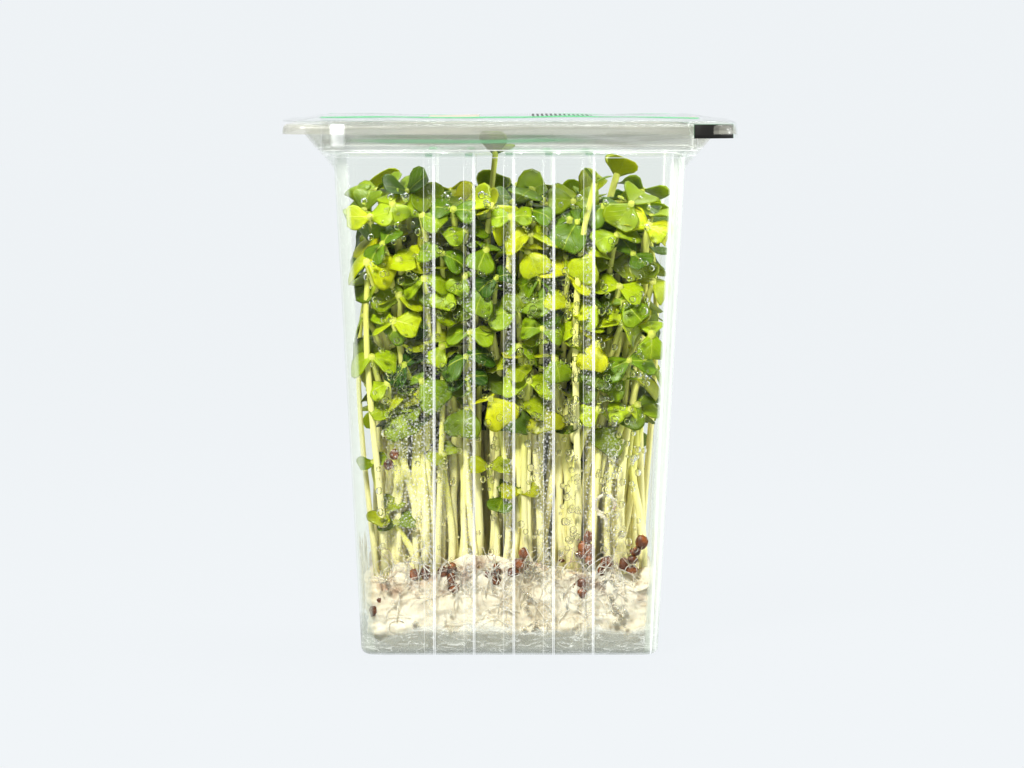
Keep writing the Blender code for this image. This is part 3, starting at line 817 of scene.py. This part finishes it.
class Sprout:
    """One stem with its pair of seed leaves."""

    def __init__(self, foot, head, lean, turn, rise, droop, cup, size, bow):
        self.foot = Vector(foot)
        self.head = Vector(head)
        self.up = Vector((lean[0], lean[1], 1.0)).normalized()
        level = Vector((math.cos(turn), math.sin(turn), 0.0))
        self.out = (level - self.up * level.dot(self.up)).normalized()
        self.side = self.up.cross(self.out)
        self.rise = rise
        self.droop = droop
        self.cup = cup
        self.size = size
        self.bow = Vector(bow)
        self.neck = (self.head.z - self.foot.z) * 0.3

    def stem_point(self, t):
        """A point of the stem's curve, which leaves the foot upright and meets the leaves along up."""
        height = self.head.z - self.foot.z
        first = self.foot + Vector((0.0, 0.0, height * 0.4)) + self.bow
        second = self.head - self.up * self.neck
        rest = 1.0 - t
        return (
            self.foot * rest**3
            + first * 3 * rest * rest * t
            + second * 3 * rest * t * t
            + self.head * t**3
        )

    def leaf_point(self, hand, across, along, lift=0.0):
        """A point of one leaf: hand is 1 or -1, across and along are measured in its outline."""
        width = BLADE_WIDTH * self.size / 2
        length = (BLADE_LENGTH + PETIOLE) * self.size
        bend = self.droop * max(along, 0.0) / length
        reach = along
        climb = 0.0
        if bend:
            reach = length / self.droop * (math.sin(self.rise) - math.sin(self.rise - bend))
            climb = length / self.droop * (math.cos(self.rise - bend) - math.cos(self.rise))
        angle = self.rise - bend
        out = self.out * hand
        normal = self.up * math.cos(angle) - out * math.sin(angle)
        lift = lift + self.cup * across * across / width
        root = self.head - self.up * BLADE
        return root + out * reach + self.up * climb + self.side * across + normal * lift

    def rim(self, angle, share=1.0, flare=0.28):
        """Across and along for a point on the leaf's notched outline, or inside it for a smaller share."""
        across = BLADE_WIDTH / 2 * math.sin(angle) * (1 - flare * math.cos(angle))
        notch = BLADE_NOTCH * math.exp(-(((angle - math.pi) / 0.5) ** 2))
        along = BLADE_LENGTH * (0.5 - 0.5 * math.cos(angle) - notch)
        middle = BLADE_LENGTH * 0.5
        along = PETIOLE + middle + (along - middle) * share
        return across * share * self.size, along * self.size

    def samples(self):
        """Points spread over the stem and both leaves, to keep sprouts clear of each other."""
        height = self.head.z - self.foot.z
        count = max(3, round(height / 0.0025))
        points = [self.stem_point(step / count) for step in range(count + 1)]
        for hand in (1, -1):
            for share, steps in ((0.0, 1), (0.5, 6), (1.0, 12)):
                for step in range(steps):
                    across, along = self.rim(2 * math.pi * step / steps, share)
                    points.append(self.leaf_point(hand, across, along))
        return points


def inside_tub(point, clearance=WALL_CLEARANCE):
    """True where a point of a sprout is clear of the walls and the film."""
    half_x, half_y = wall_half(point.z)
    margin = SHEET + clearance
    if point.z > LEDGE_Z:
        half_x, half_y = TOP_HALF
    if point.z > FLANGE_Z - margin or point.z < MAT_TOP_Z - STEM_SUNK - GAP:
        return False
    over_x = abs(point.x) - (half_x - BODY_CORNER)
    over_y = abs(point.y) - (half_y - BODY_CORNER)
    if over_x > 0 and over_y > 0:
        return math.hypot(over_x, over_y) < BODY_CORNER - margin
    return max(over_x, over_y) < BODY_CORNER - margin


def draw_sprout(draws, place, number, height, size):
    """One trial sprout over a bunch's place."""
    turn = 2 * math.pi * (number + 0.25) / STEMS_PER_BUNCH + draws.uniform(-0.3, 0.3)
    foot = (
        place[0] + FOOT_RING * math.cos(turn),
        place[1] + FOOT_RING * math.sin(turn),
        MAT_TOP_Z - STEM_SUNK,
    )
    head_z = height + draws.uniform(-HEAD_PLAY, HEAD_PLAY)
    spread = 1.0 + HEAD_SPREAD * head_z / LEDGE_Z
    head = (
        foot[0] * spread + draws.gauss(0.0, HEAD_DRIFT),
        foot[1] * spread + draws.gauss(0.0, HEAD_DRIFT),
        head_z,
    )
    lean = (
        draws.gauss(0.0, 0.22) + 0.25 * head[0] / TOP_HALF[0],
        draws.gauss(0.0, 0.22) + 0.55 * head[1] / TOP_HALF[1],
    )
    bow = (draws.gauss(0.0, 0.0012), draws.gauss(0.0, 0.0012), 0.0)
    return Sprout(
        foot,
        head,
        lean,
        draws.uniform(0.0, 2 * math.pi),
        math.radians(draws.uniform(-8.0, 62.0)),
        math.radians(draws.uniform(8.0, 45.0)),
        draws.uniform(-0.12, 0.38),
        size,
        bow,
    )


def head_height(bunch, number):
    """Height of a head, so that the heads of neighbours stand at different levels."""
    step = (bunch * 0.618034 + number / STEMS_PER_BUNCH) % 1.0
    return LOWEST_HEAD + (HIGHEST_HEAD - LOWEST_HEAD) * step


def settle_sprouts():
    """Sprouts of every bunch, each the first trial that is clear of all those before it."""
    draws = random.Random(SEED)
    taken = []
    bunches = [[] for place in bunch_places()]
    for number in range(STEMS_PER_BUNCH):
        for bunch, place in enumerate(bunch_places()):
            tree = KDTree(len(taken))
            for index, point in enumerate(taken):
                tree.insert(point, index)
            tree.balance()
            for attempt in range(TRIES):
                size = draws.uniform(0.88, 1.12) * (1.0 - 0.35 * attempt / TRIES)
                sprout = draw_sprout(draws, place, number, head_height(bunch, number), size)
                points = sprout.samples()
                if not all(inside_tub(point) for point in points):
                    continue
                if taken and any(tree.find(point)[2] < CLEARANCE for point in points):
                    continue
                bunches[bunch].append(sprout)
                taken += points
                break
    return bunches


def stem_line(sprout, count=16):
    return [sprout.stem_point(step / count) for step in range(count)]


def leaf_hearts(sprout):
    """The middle of each of a sprout's leaves."""
    return [sprout.leaf_point(hand, *sprout.rim(0.0, 0.0)) for hand in (1, -1)]


def leaf_rims(sprout):
    """A few points round each of a sprout's leaves."""
    angles = [math.pi * step / 4 for step in range(1, 8)]
    return [sprout.leaf_point(hand, *sprout.rim(angle)) for hand in (1, -1) for angle in angles]


def tree_of(points):
    tree = KDTree(len(points))
    for index, point in enumerate(points):
        tree.insert(point, index)
    tree.balance()
    return tree


def nearest_bunch(sprout):
    places = bunch_places()
    return min(range(len(places)), key=lambda number: math.dist(places[number], sprout.foot[:2]))


def draw_filler(draws, middle, size):
    """A trial sprout whose head is near a given place, with its foot on the mat below."""
    head = Vector([part + draws.gauss(0.0, play) for part, play in zip(middle, (0.0020, 0.0014, 0.0020))])
    half_x, half_y = wall_half(MAT_TOP_Z)
    foot_x = min(max(head.x * 0.84 + draws.gauss(0.0, 0.0030), 0.0045 - half_x), half_x - 0.0045)
    tall = (middle[2] - FILLER_LOW) / (FILLER_HIGH - FILLER_LOW)
    set_back = 1.0 - 0.42 * tall
    foot_y = min(max(head.y * 0.84 * set_back + draws.gauss(0.0, 0.0020), 0.0035 - half_y), half_y - 0.0035)
    lean = (
        draws.gauss(0.0, 0.32) + 0.5 * head.x / TOP_HALF[0],
        draws.gauss(0.0, 0.32) + 1.25 * head.y / TOP_HALF[1],
    )
    sprout = Sprout(
        (foot_x, foot_y, MAT_TOP_Z - 0.002),
        head,
        lean,
        draws.uniform(0.0, 2 * math.pi),
        math.radians(draws.uniform(-20.0, 35.0)),
        math.radians(draws.uniform(5.0, 70.0)),
        draws.uniform(-0.20, 0.40),
        size,
        (draws.gauss(0.0, 0.0042), draws.gauss(0.0, 0.0015) - 0.16 * head.y * tall, 0.0),
    )
    sprout.neck = FILLER_NECK
    return sprout


def add_fillers(bunches):
    """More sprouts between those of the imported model, layer behind layer, each in the nearest bunch."""
    draws = random.Random(SEED + 1)
    hearts = [point for sprouts in bunches for sprout in sprouts for point in leaf_hearts(sprout)]
    stems = [point for sprouts in bunches for sprout in sprouts for point in stem_line(sprout)]
    for layer, (y, rows, columns) in enumerate(FILLER_LAYERS):
        for row in range(rows):
            z = FILLER_LOW + (FILLER_HIGH - FILLER_LOW) * row / (rows - 1)
            half_x = wall_half(z)[0] - 0.0034
            for column in range(columns):
                shift = 0.5 * ((row + layer) % 2)
                x = half_x * (2 * (column + 0.25 + shift) / columns - 1)
                heart_tree = tree_of(hearts)
                stem_tree = tree_of(stems)
                best = None
                for attempt in range(FILLER_TRIES):
                    size = draws.uniform(1.02, 1.40) * (1.0 - 0.34 * attempt / FILLER_TRIES)
                    sprout = draw_filler(draws, (x, y, z), size)
                    rims = leaf_rims(sprout)
                    line = stem_line(sprout)
                    if not all(inside_tub(point, FILLER_WALL) for point in rims + line[1:]):
                        continue
                    middles = leaf_hearts(sprout)
                    room = min(heart_tree.find(point)[2] for point in middles) / LEAF_ROOM
                    room = min(room, *(stem_tree.find(point)[2] / STEM_ROOM for point in rims + middles))
                    room = min(room, *(heart_tree.find(point)[2] / LEAF_ROOM / 0.65 for point in line[1:]))
                    if best is None or room > best[0]:
                        best = (room, sprout, middles, line)
                    if room >= 1.0:
                        break
                if best is None:
                    continue
                bunches[nearest_bunch(best[1])].append(best[1])
                hearts += best[2]
                stems += best[3]


def add_seedlings(bunches):
    """Short seedlings with small leaves against the front wall."""
    draws = random.Random(SEED + 6)
    for x, z, turn, size in SEEDLINGS:
        y = -(wall_half(z)[1] - 0.0058)
        foot = (x * 0.9 + draws.gauss(0.0, 0.001), y + 0.002, MAT_TOP_Z - 0.002)
        sprout = Sprout(foot, (x, y, z), (0.1, -0.9), turn, 0.25, 0.5, 0.2, size, (0.002, 0.0, 0.0))
        sprout.neck = (z - MAT_TOP_Z) * 0.35
        bunches[nearest_bunch(sprout)].append(sprout)


def set_vectors(mesh, name, values):
    """Give every point of a mesh a vector for its material."""
    layer = mesh.attributes.new(name, "FLOAT_VECTOR", "POINT")
    layer.data.foreach_set("vector", [number for value in values for number in value])


def copy_of(master):
    twin = master.copy()
    twin.data = master.data.copy()
    bpy.context.collection.objects.link(twin)
    return twin


def make_stem_master():
    """A short round rod with rings to bend it at."""
    deselect()
    bpy.ops.mesh.primitive_cylinder_add(vertices=6, radius=1.0, depth=2.0, end_fill_type="NGON")
    rod = bpy.context.active_object
    bpy.ops.object.mode_set(mode="EDIT")
    for step in range(1, ROD_STEPS):
        bpy.ops.mesh.select_all(action="SELECT")
        height = 2 * step / ROD_STEPS - 1
        bpy.ops.mesh.bisect(plane_co=(0.0, 0.0, height), plane_no=(0.0, 0.0, 1.0))
    bpy.ops.object.mode_set(mode="OBJECT")
    bpy.ops.object.shade_smooth()
    return rod


def make_leaf_master():
    """A flat round cushion that each seed leaf is shaped from."""
    deselect()
    bpy.ops.mesh.primitive_uv_sphere_add(segments=LEAF_SIDES, ring_count=6, radius=1.0)
    leaf = bpy.context.active_object
    bpy.ops.object.shade_smooth()
    return leaf


def lay_rod(rod, path, radius):
    """Bend a rod along a path and give it its thickness, which may change along it."""
    side = Vector((1.0, 0.0, 0.0))
    for vert in rod.data.vertices:
        t = (vert.co.z + 1) / 2
        ahead = path(min(t + 0.02, 1.0)) - path(max(t - 0.02, 0.0))
        ahead.normalize()
        across = (side - ahead * side.dot(ahead)).normalized()
        other = ahead.cross(across)
        thick = radius(t)
        vert.co = path(t) + across * vert.co.x * thick + other * vert.co.y * thick


def shape_stem(rod, sprout, thick):
    """A stem, thicker at the foot and at the joint of its leaves."""
    rises = [(vert.co.z + 1) / 2 for vert in rod.data.vertices]
    lay_rod(rod, sprout.stem_point, lambda t: thick * (1.12 - 0.30 * t + 0.18 * max(t - 0.85, 0.0) / 0.15))
    set_vectors(rod.data, "place", [(0.0, rise, 0.0) for rise in rises])
    return rises


def shape_leaf(leaf, sprout, hand):
    """One seed leaf: a thin lens in the notched outline, drawn in to its stalk."""
    places = []
    for vert in leaf.data.vertices:
        share = math.hypot(vert.co.x, vert.co.y)
        angle = math.atan2(vert.co.y, vert.co.x) % (2 * math.pi)
        across, along = sprout.rim(angle, share, LEAF_FLARE)
        turned = min(angle, 2 * math.pi - angle)
        along -= (PETIOLE + BLADE) * math.exp(-((turned / 0.35) ** 2)) * share**3
        lift = vert.co.z * LEAF_THICK / 2
        vert.co = sprout.leaf_point(hand, across, along, lift)
        places.append((across / (BLADE_WIDTH / 2), along / (BLADE_LENGTH + PETIOLE), 1.0))
    set_vectors(leaf.data, "place", places)


def make_bunches(material):
    """The sprouts of each bunch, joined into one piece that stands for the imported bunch."""
    bunches = settle_sprouts()
    add_fillers(bunches)
    add_seedlings(bunches)
    draws = random.Random(SEED + 2)
    rod = make_stem_master()
    cushion = make_leaf_master()
    for number, sprouts in enumerate(bunches, 1):
        parts = []
        for sprout in sprouts:
            rise = (sprout.head.z - LOWEST_HEAD) / (HIGHEST_HEAD - LOWEST_HEAD)
            age = min(max(draws.gauss(0.55, 0.27) - 0.40 * max(rise - 0.65, 0.0), 0.0), 1.0)
            # Painted shade: sprouts near the middle of the tub get a low shade value, which darkens their
            # colour; stems are darkened less than leaves
            open_air = max(abs(sprout.head.y) / 0.026, abs(sprout.head.x) / 0.036)
            shade = min(0.04 + 0.96 * open_air**5, 1.0)
            if sprout.head.z > TALL_HEAD:
                shade = max(shade, 0.6)
            stem = copy_of(rod)
            rises = shape_stem(stem, sprout, draws.uniform(*STEM_THICKNESS))
            set_vectors(stem.data, "tone", [(age, 0.76 + 0.24 * shade, share) for share in rises])
            parts.append(stem)
            for hand in (1, -1):
                leaf = copy_of(cushion)
                shape_leaf(leaf, sprout, hand)
                leaf_age = min(max(age + draws.uniform(-0.08, 0.08), 0.0), 1.0)
                set_vectors(leaf.data, "tone", [(leaf_age, shade, 1.0)] * len(leaf.data.vertices))
                parts.append(leaf)
        name = f"sprouts_{number:02d}"
        finish_piece(join_pieces(parts), f"grown_{name}", material, (name,))
    bpy.data.objects.remove(rod)
    bpy.data.objects.remove(cushion)


def make_mat_body(material):
    """The felt of roots: a soft block with a ragged lower edge."""
    low_x = wall_half(MAT_FLOOR_Z)[0]
    high_x, high_y = wall_half(MAT_TOP_Z)
    deselect()
    bpy.ops.mesh.primitive_cube_add(size=2.0, location=(0.0, 0.0, (MAT_FLOOR_Z + MAT_TOP_Z) / 2))
    body = bpy.context.active_object
    body_half = (high_x - SHEET - GAP, high_y - SHEET - GAP, (MAT_TOP_Z - MAT_FLOOR_Z) / 2)
    body.scale = body_half
    put_down()
    bpy.ops.object.mode_set(mode="EDIT")
    bpy.ops.mesh.select_all(action="SELECT")
    bpy.ops.mesh.subdivide(number_cuts=10)
    bpy.ops.mesh.subdivide(number_cuts=5)
    bpy.ops.object.mode_set(mode="OBJECT")
    middle = Vector((0.0, 0.0, (MAT_FLOOR_Z + MAT_TOP_Z) / 2))
    core = [reach - MAT_ROUND for reach in body_half]
    for vert in body.data.vertices:
        spot = vert.co - middle
        inner = Vector([min(max(part, -reach), reach) for part, reach in zip(spot, core)])
        outer = spot - inner
        if outer.length > 1e-7:
            vert.co = middle + inner + outer * (max(abs(part) for part in outer) / outer.length)
        share = (vert.co.z - MAT_FLOOR_Z) / (MAT_TOP_Z - MAT_FLOOR_Z)
        spot = vert.co * 160.0
        rough = sum(noise.noise(spot * scale) * share for scale, share in MAT_ROUGHNESS)
        edge = MAT_EDGE_Z + 0.0022 * noise.noise(Vector((vert.co.x * 130.0, vert.co.y * 130.0, 0.0)))
        under = max(edge - vert.co.z, 0.0) / edge
        narrow = low_x / high_x + (1 - low_x / high_x) * share
        inward = max(0.0010 + 0.0013 * rough, 0.0001) + MAT_UNDERCUT * under**1.4
        reach_x = high_x - SHEET
        reach_y = high_y - SHEET
        vert.co.x *= narrow * (1 - inward / reach_x)
        vert.co.y *= narrow * (1 - inward / reach_y)
        if share > 0.6:
            lump = 0.0052 * noise.noise(spot * 0.9 + Vector((9.0, 0.0, 0.0))) - 0.0010
            vert.co.z += (share - 0.6) / 0.4 * lump
    bpy.ops.object.shade_smooth()
    finish_piece(body, "root_felt", material, ("root_mat",))


def make_root_threads(material):
    """Fine roots that run over the felt, most of them along the walls."""
    draws = random.Random(SEED + 3)
    rod = make_stem_master()
    threads = []
    for _ in range(THREAD_COUNT):
        wall = draws.choices(("front", "back", "left", "right", "top"), (9, 5, 3, 3, 4))[0]
        z = MAT_EDGE_Z - 0.002 + (MAT_TOP_Z - MAT_EDGE_Z + 0.003) * draws.random() ** 0.6
        half_x, half_y = (size - SHEET - 0.0005 for size in wall_half(z))
        along = draws.uniform(-1.0, 1.0)
        middle = {
            "front": Vector((along * (half_x - 0.004), -half_y, z)),
            "back": Vector((along * (half_x - 0.004), half_y, z)),
            "left": Vector((-half_x, along * (half_y - 0.004), z)),
            "right": Vector((half_x, along * (half_y - 0.004), z)),
            "top": Vector((along * (half_x - 0.005), draws.uniform(-1, 1) * (half_y - 0.005), MAT_TOP_Z)),
        }[wall]
        heading = draws.gauss(math.pi / 2, 0.75)
        turning = draws.gauss(0.0, 1.6)
        length = draws.uniform(*THREAD_LENGTH)
        phase = draws.uniform(0.0, 100.0)
        steps = [middle.copy()]
        for step in range(ROD_STEPS * 2):
            heading += turning / (ROD_STEPS * 2) + 0.35 * noise.noise(Vector((step * 0.35, phase, 0.0)))
            level = math.cos(heading) * length / (ROD_STEPS * 2)
            climb = math.sin(heading) * length / (ROD_STEPS * 2)
            if wall in ("front", "back"):
                move = Vector((level, 0.0, climb))
            elif wall in ("left", "right"):
                move = Vector((0.0, level, climb))
            else:
                move = Vector((level, climb, 0.0))
            spot = steps[-1] + move
            spot.z = min(max(spot.z, MAT_FLOOR_Z + 0.0006), MAT_TOP_Z + THREAD_CLIMB)
            room_x, room_y = (size - SHEET - 0.0006 for size in wall_half(spot.z))
            if wall in ("left", "right"):
                spot.x = math.copysign(room_x, spot.x)
            else:
                spot.x = min(max(spot.x, -room_x + 0.0016), room_x - 0.0016)
            if wall in ("front", "back"):
                spot.y = math.copysign(room_y, spot.y)
            else:
                spot.y = min(max(spot.y, -room_y + 0.0016), room_y - 0.0016)
            steps.append(spot)
        thick = draws.uniform(*THREAD_THICKNESS)
        thread = copy_of(rod)
        lay_rod(thread, lambda t: point_on(steps, t), lambda t: thick * (1.1 - 0.7 * t))
        threads.append(thread)
    for x, z, reach, start, end in CURLS:
        thread = copy_of(rod)
        lay_rod(thread, lambda t: curl_point(x, z, reach, start + (end - start) * t), lambda t: CURL_THICK)
        threads.append(thread)
    bpy.data.objects.remove(rod)
    finish_piece(join_pieces(threads), "root_threads", material)


def curl_point(x, z, reach, turn):
    """A point of a root that curls against the front wall."""
    low = z + reach * math.sin(turn)
    return Vector((x + reach * math.cos(turn), -wall_half(low)[1] + 0.0012 + 0.0002 * turn, low))


def point_on(points, t):
    """A point along a chain of points, t from 0 to 1."""
    place = min(max(t, 0.0), 1.0) * (len(points) - 1)
    step = min(int(place), len(points) - 2)
    return points[step].lerp(points[step + 1], place - step)


def make_hulls(material):
    """Empty seed coats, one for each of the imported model's and more among the roots."""
    deselect()
    bpy.ops.mesh.primitive_ico_sphere_add(subdivisions=2, radius=1.0)
    seed = bpy.context.active_object
    bpy.ops.object.shade_smooth()
    draws = random.Random(SEED + 4)
    for number in range(1, HULL_COUNT + 1):
        name = f"seed_hull_{number:02d}"
        low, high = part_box(name)
        middle = [(a + b) / 2 for a, b in zip(low, high)]
        size = [(b - a) / 2 for a, b in zip(low, high)]
        hull = copy_of(seed)
        crumple_hull(hull, middle, size, draws)
        finish_piece(hull, f"coat_{number:02d}", material, (name,))
    loose = []
    for x, z, count in FRONT_HULLS:
        for number in range(count):
            hull = copy_of(seed)
            size = [draws.uniform(*span) for span in COAT_SPANS]
            turn = 2 * math.pi * number / count + 1.0
            apart = 0.0014 if count > 1 else 0.0
            low = z + apart * math.sin(turn)
            front = -wall_half(low)[1] + SHEET + size[1] + 0.0002 + draws.uniform(0.0, 0.0006)
            crumple_hull(hull, (x + apart * math.cos(turn), front, low), size, draws)
            loose.append(hull)
    bpy.data.objects.remove(seed)
    finish_piece(join_pieces(loose), "coats_in_roots", material)


def crumple_hull(hull, middle, size, draws):
    """A dented seed coat that fills a box of the given half size."""
    phase = draws.uniform(0.0, 50.0)
    for vert in hull.data.vertices:
        dent = 1.0 - 0.35 * abs(noise.noise(vert.co * 1.4 + Vector((phase, 0.0, 0.0))))
        dent *= 1.0 - 0.35 * math.exp(-((vert.co.y / 0.35) ** 2)) * max(vert.co.z, 0.0)
        vert.co = Vector([centre + part * reach * dent for centre, part, reach in zip(middle, vert.co, size)])


def make_drops(material):
    """Beads of water on the inner side of the walls, larger low on the right."""
    deselect()
    bpy.ops.mesh.primitive_ico_sphere_add(subdivisions=2, radius=1.0)
    bead = bpy.context.active_object
    bpy.ops.object.shade_smooth()
    draws = random.Random(SEED + 5)
    drops = []
    for number in range(DROP_COUNT):
        big = number < DROP_COUNT // 8
        radius = draws.uniform(0.0005, 0.0010) if big else 0.00028 + 0.00070 * draws.random() ** 2
        x = draws.gauss(0.020, 0.011) if big else draws.uniform(-0.038, 0.038)
        z = draws.uniform(0.018, 0.090) if big else draws.uniform(0.006, 0.112)
        side = -1.0 if big or draws.random() < 0.7 else 1.0
        half_x, half_y = wall_half(z)
        if abs(x) > half_x - BODY_CORNER - 0.001 or near_rib(x, radius):
            continue
        drop = copy_of(bead)
        stretch = draws.uniform(1.0, 1.2)
        wall = half_y - THIN_SHEET - radius * 0.30
        for vert in drop.data.vertices:
            vert.co.x = x + vert.co.x * radius
            vert.co.z = z + vert.co.z * radius * (stretch if vert.co.z < 0 else 1.0)
            vert.co.y = side * (wall - vert.co.y * radius * 0.42 * side)
        drops.append(drop)
    bpy.data.objects.remove(bead)
    finish_piece(join_pieces(drops), "water_drops", material)


def near_rib(x, radius):
    """True where a drop would sit over a rib's hollow."""
    rib = min(max(round(x / RIB_PITCH), -2), 2) * RIB_PITCH
    return abs(x - rib) < RIB_HALF + radius


def make_floor():
    """A wide pale floor that rises behind the tub."""
    deselect()
    bpy.ops.mesh.primitive_plane_add(size=8.0, location=(0.0, 1.5, 0.0))
    floor = bpy.context.active_object
    put_down()
    bpy.ops.object.mode_set(mode="EDIT")
    bpy.ops.mesh.select_mode(type="EDGE")
    bpy.ops.mesh.select_all(action="DESELECT")
    bpy.ops.object.mode_set(mode="OBJECT")
    for edge in floor.data.edges:
        edge.select = all(floor.data.vertices[index].co.y > 5.0 for index in edge.vertices)
    bpy.ops.object.mode_set(mode="EDIT")
    bpy.ops.mesh.extrude_edges_move(TRANSFORM_OT_translate={"value": (0.0, 0.0, 4.0)})
    bpy.ops.object.mode_set(mode="OBJECT")
    shader = Shader("pale_floor")
    grain = shader.noise(shader.place(), 3.0, 2.0)
    colour = shader.mix((0.008, 0.008, 0.008), (0.010, 0.010, 0.010), grain)
    surface = shader.principled(
        Base_Color=colour,
        Roughness=1.0,
        Specular_IOR_Level=0.0,
        Emission_Color=PALE,
        Emission_Strength=0.99,
    )
    floor.data.materials.append(shader.finish(surface))
    floor.name = "floor"


def add_light(name, place, aim, size, power, colour):
    """A soft rectangular light at a place, turned to what it lights."""
    data = bpy.data.lights.new(name, "AREA")
    data.shape = "RECTANGLE"
    data.size, data.size_y = size
    data.energy = power * LIGHT_GAIN
    data.color = colour
    light = bpy.data.objects.new(name, data)
    bpy.context.collection.objects.link(light)
    light.location = place
    light.rotation_euler = (Vector(aim) - Vector(place)).to_track_quat("-Z", "Y").to_euler()


def make_studio():
    """Even light all round, a soft light above the front, and a tall strip on the right."""
    world = bpy.data.worlds.new("studio")
    world.use_nodes = True
    nodes = world.node_tree.nodes
    links = world.node_tree.links
    direction = nodes.new("ShaderNodeTexCoord")
    split = nodes.new("ShaderNodeSeparateXYZ")
    strength = nodes.new("ShaderNodeMapRange")
    for place, value in enumerate((-0.4, 0.5, 0.10, 0.62), 1):
        strength.inputs[place].default_value = value
    rays = nodes.new("ShaderNodeLightPath")
    seen = nodes.new("ShaderNodeMath")
    seen.operation = "MAXIMUM"
    links.new(direction.outputs["Generated"], split.inputs[0])
    links.new(split.outputs[1], strength.inputs[0])
    links.new(strength.outputs[0], seen.inputs[0])
    links.new(rays.outputs["Is Camera Ray"], seen.inputs[1])
    links.new(seen.outputs[0], nodes["Background"].inputs[1])
    nodes["Background"].inputs[0].default_value = PALE
    bpy.context.scene.world = world
    bpy.context.scene.view_settings.view_transform = "Standard"
    for light in LIGHTS:
        add_light(*light)


def make_camera():
    data = bpy.data.cameras.new("camera")
    data.lens = LENS
    data.sensor_width = 36.0
    data.clip_end = 50.0
    camera = bpy.data.objects.new("camera", data)
    bpy.context.collection.objects.link(camera)
    camera.location = CAMERA_PLACE
    camera.rotation_euler = (math.radians(90.0 - CAMERA_TILT), 0.0, 0.0)
    bpy.context.scene.camera = camera


make_camera()
make_studio()
make_floor()
plastic = clear_plastic()
make_tub(plastic)
make_film(printed_film())
roots = root_material()
make_mat_body(roots)
make_root_threads(roots)
make_bunches(sprout_material())
make_hulls(hull_material())
make_drops(water_material())
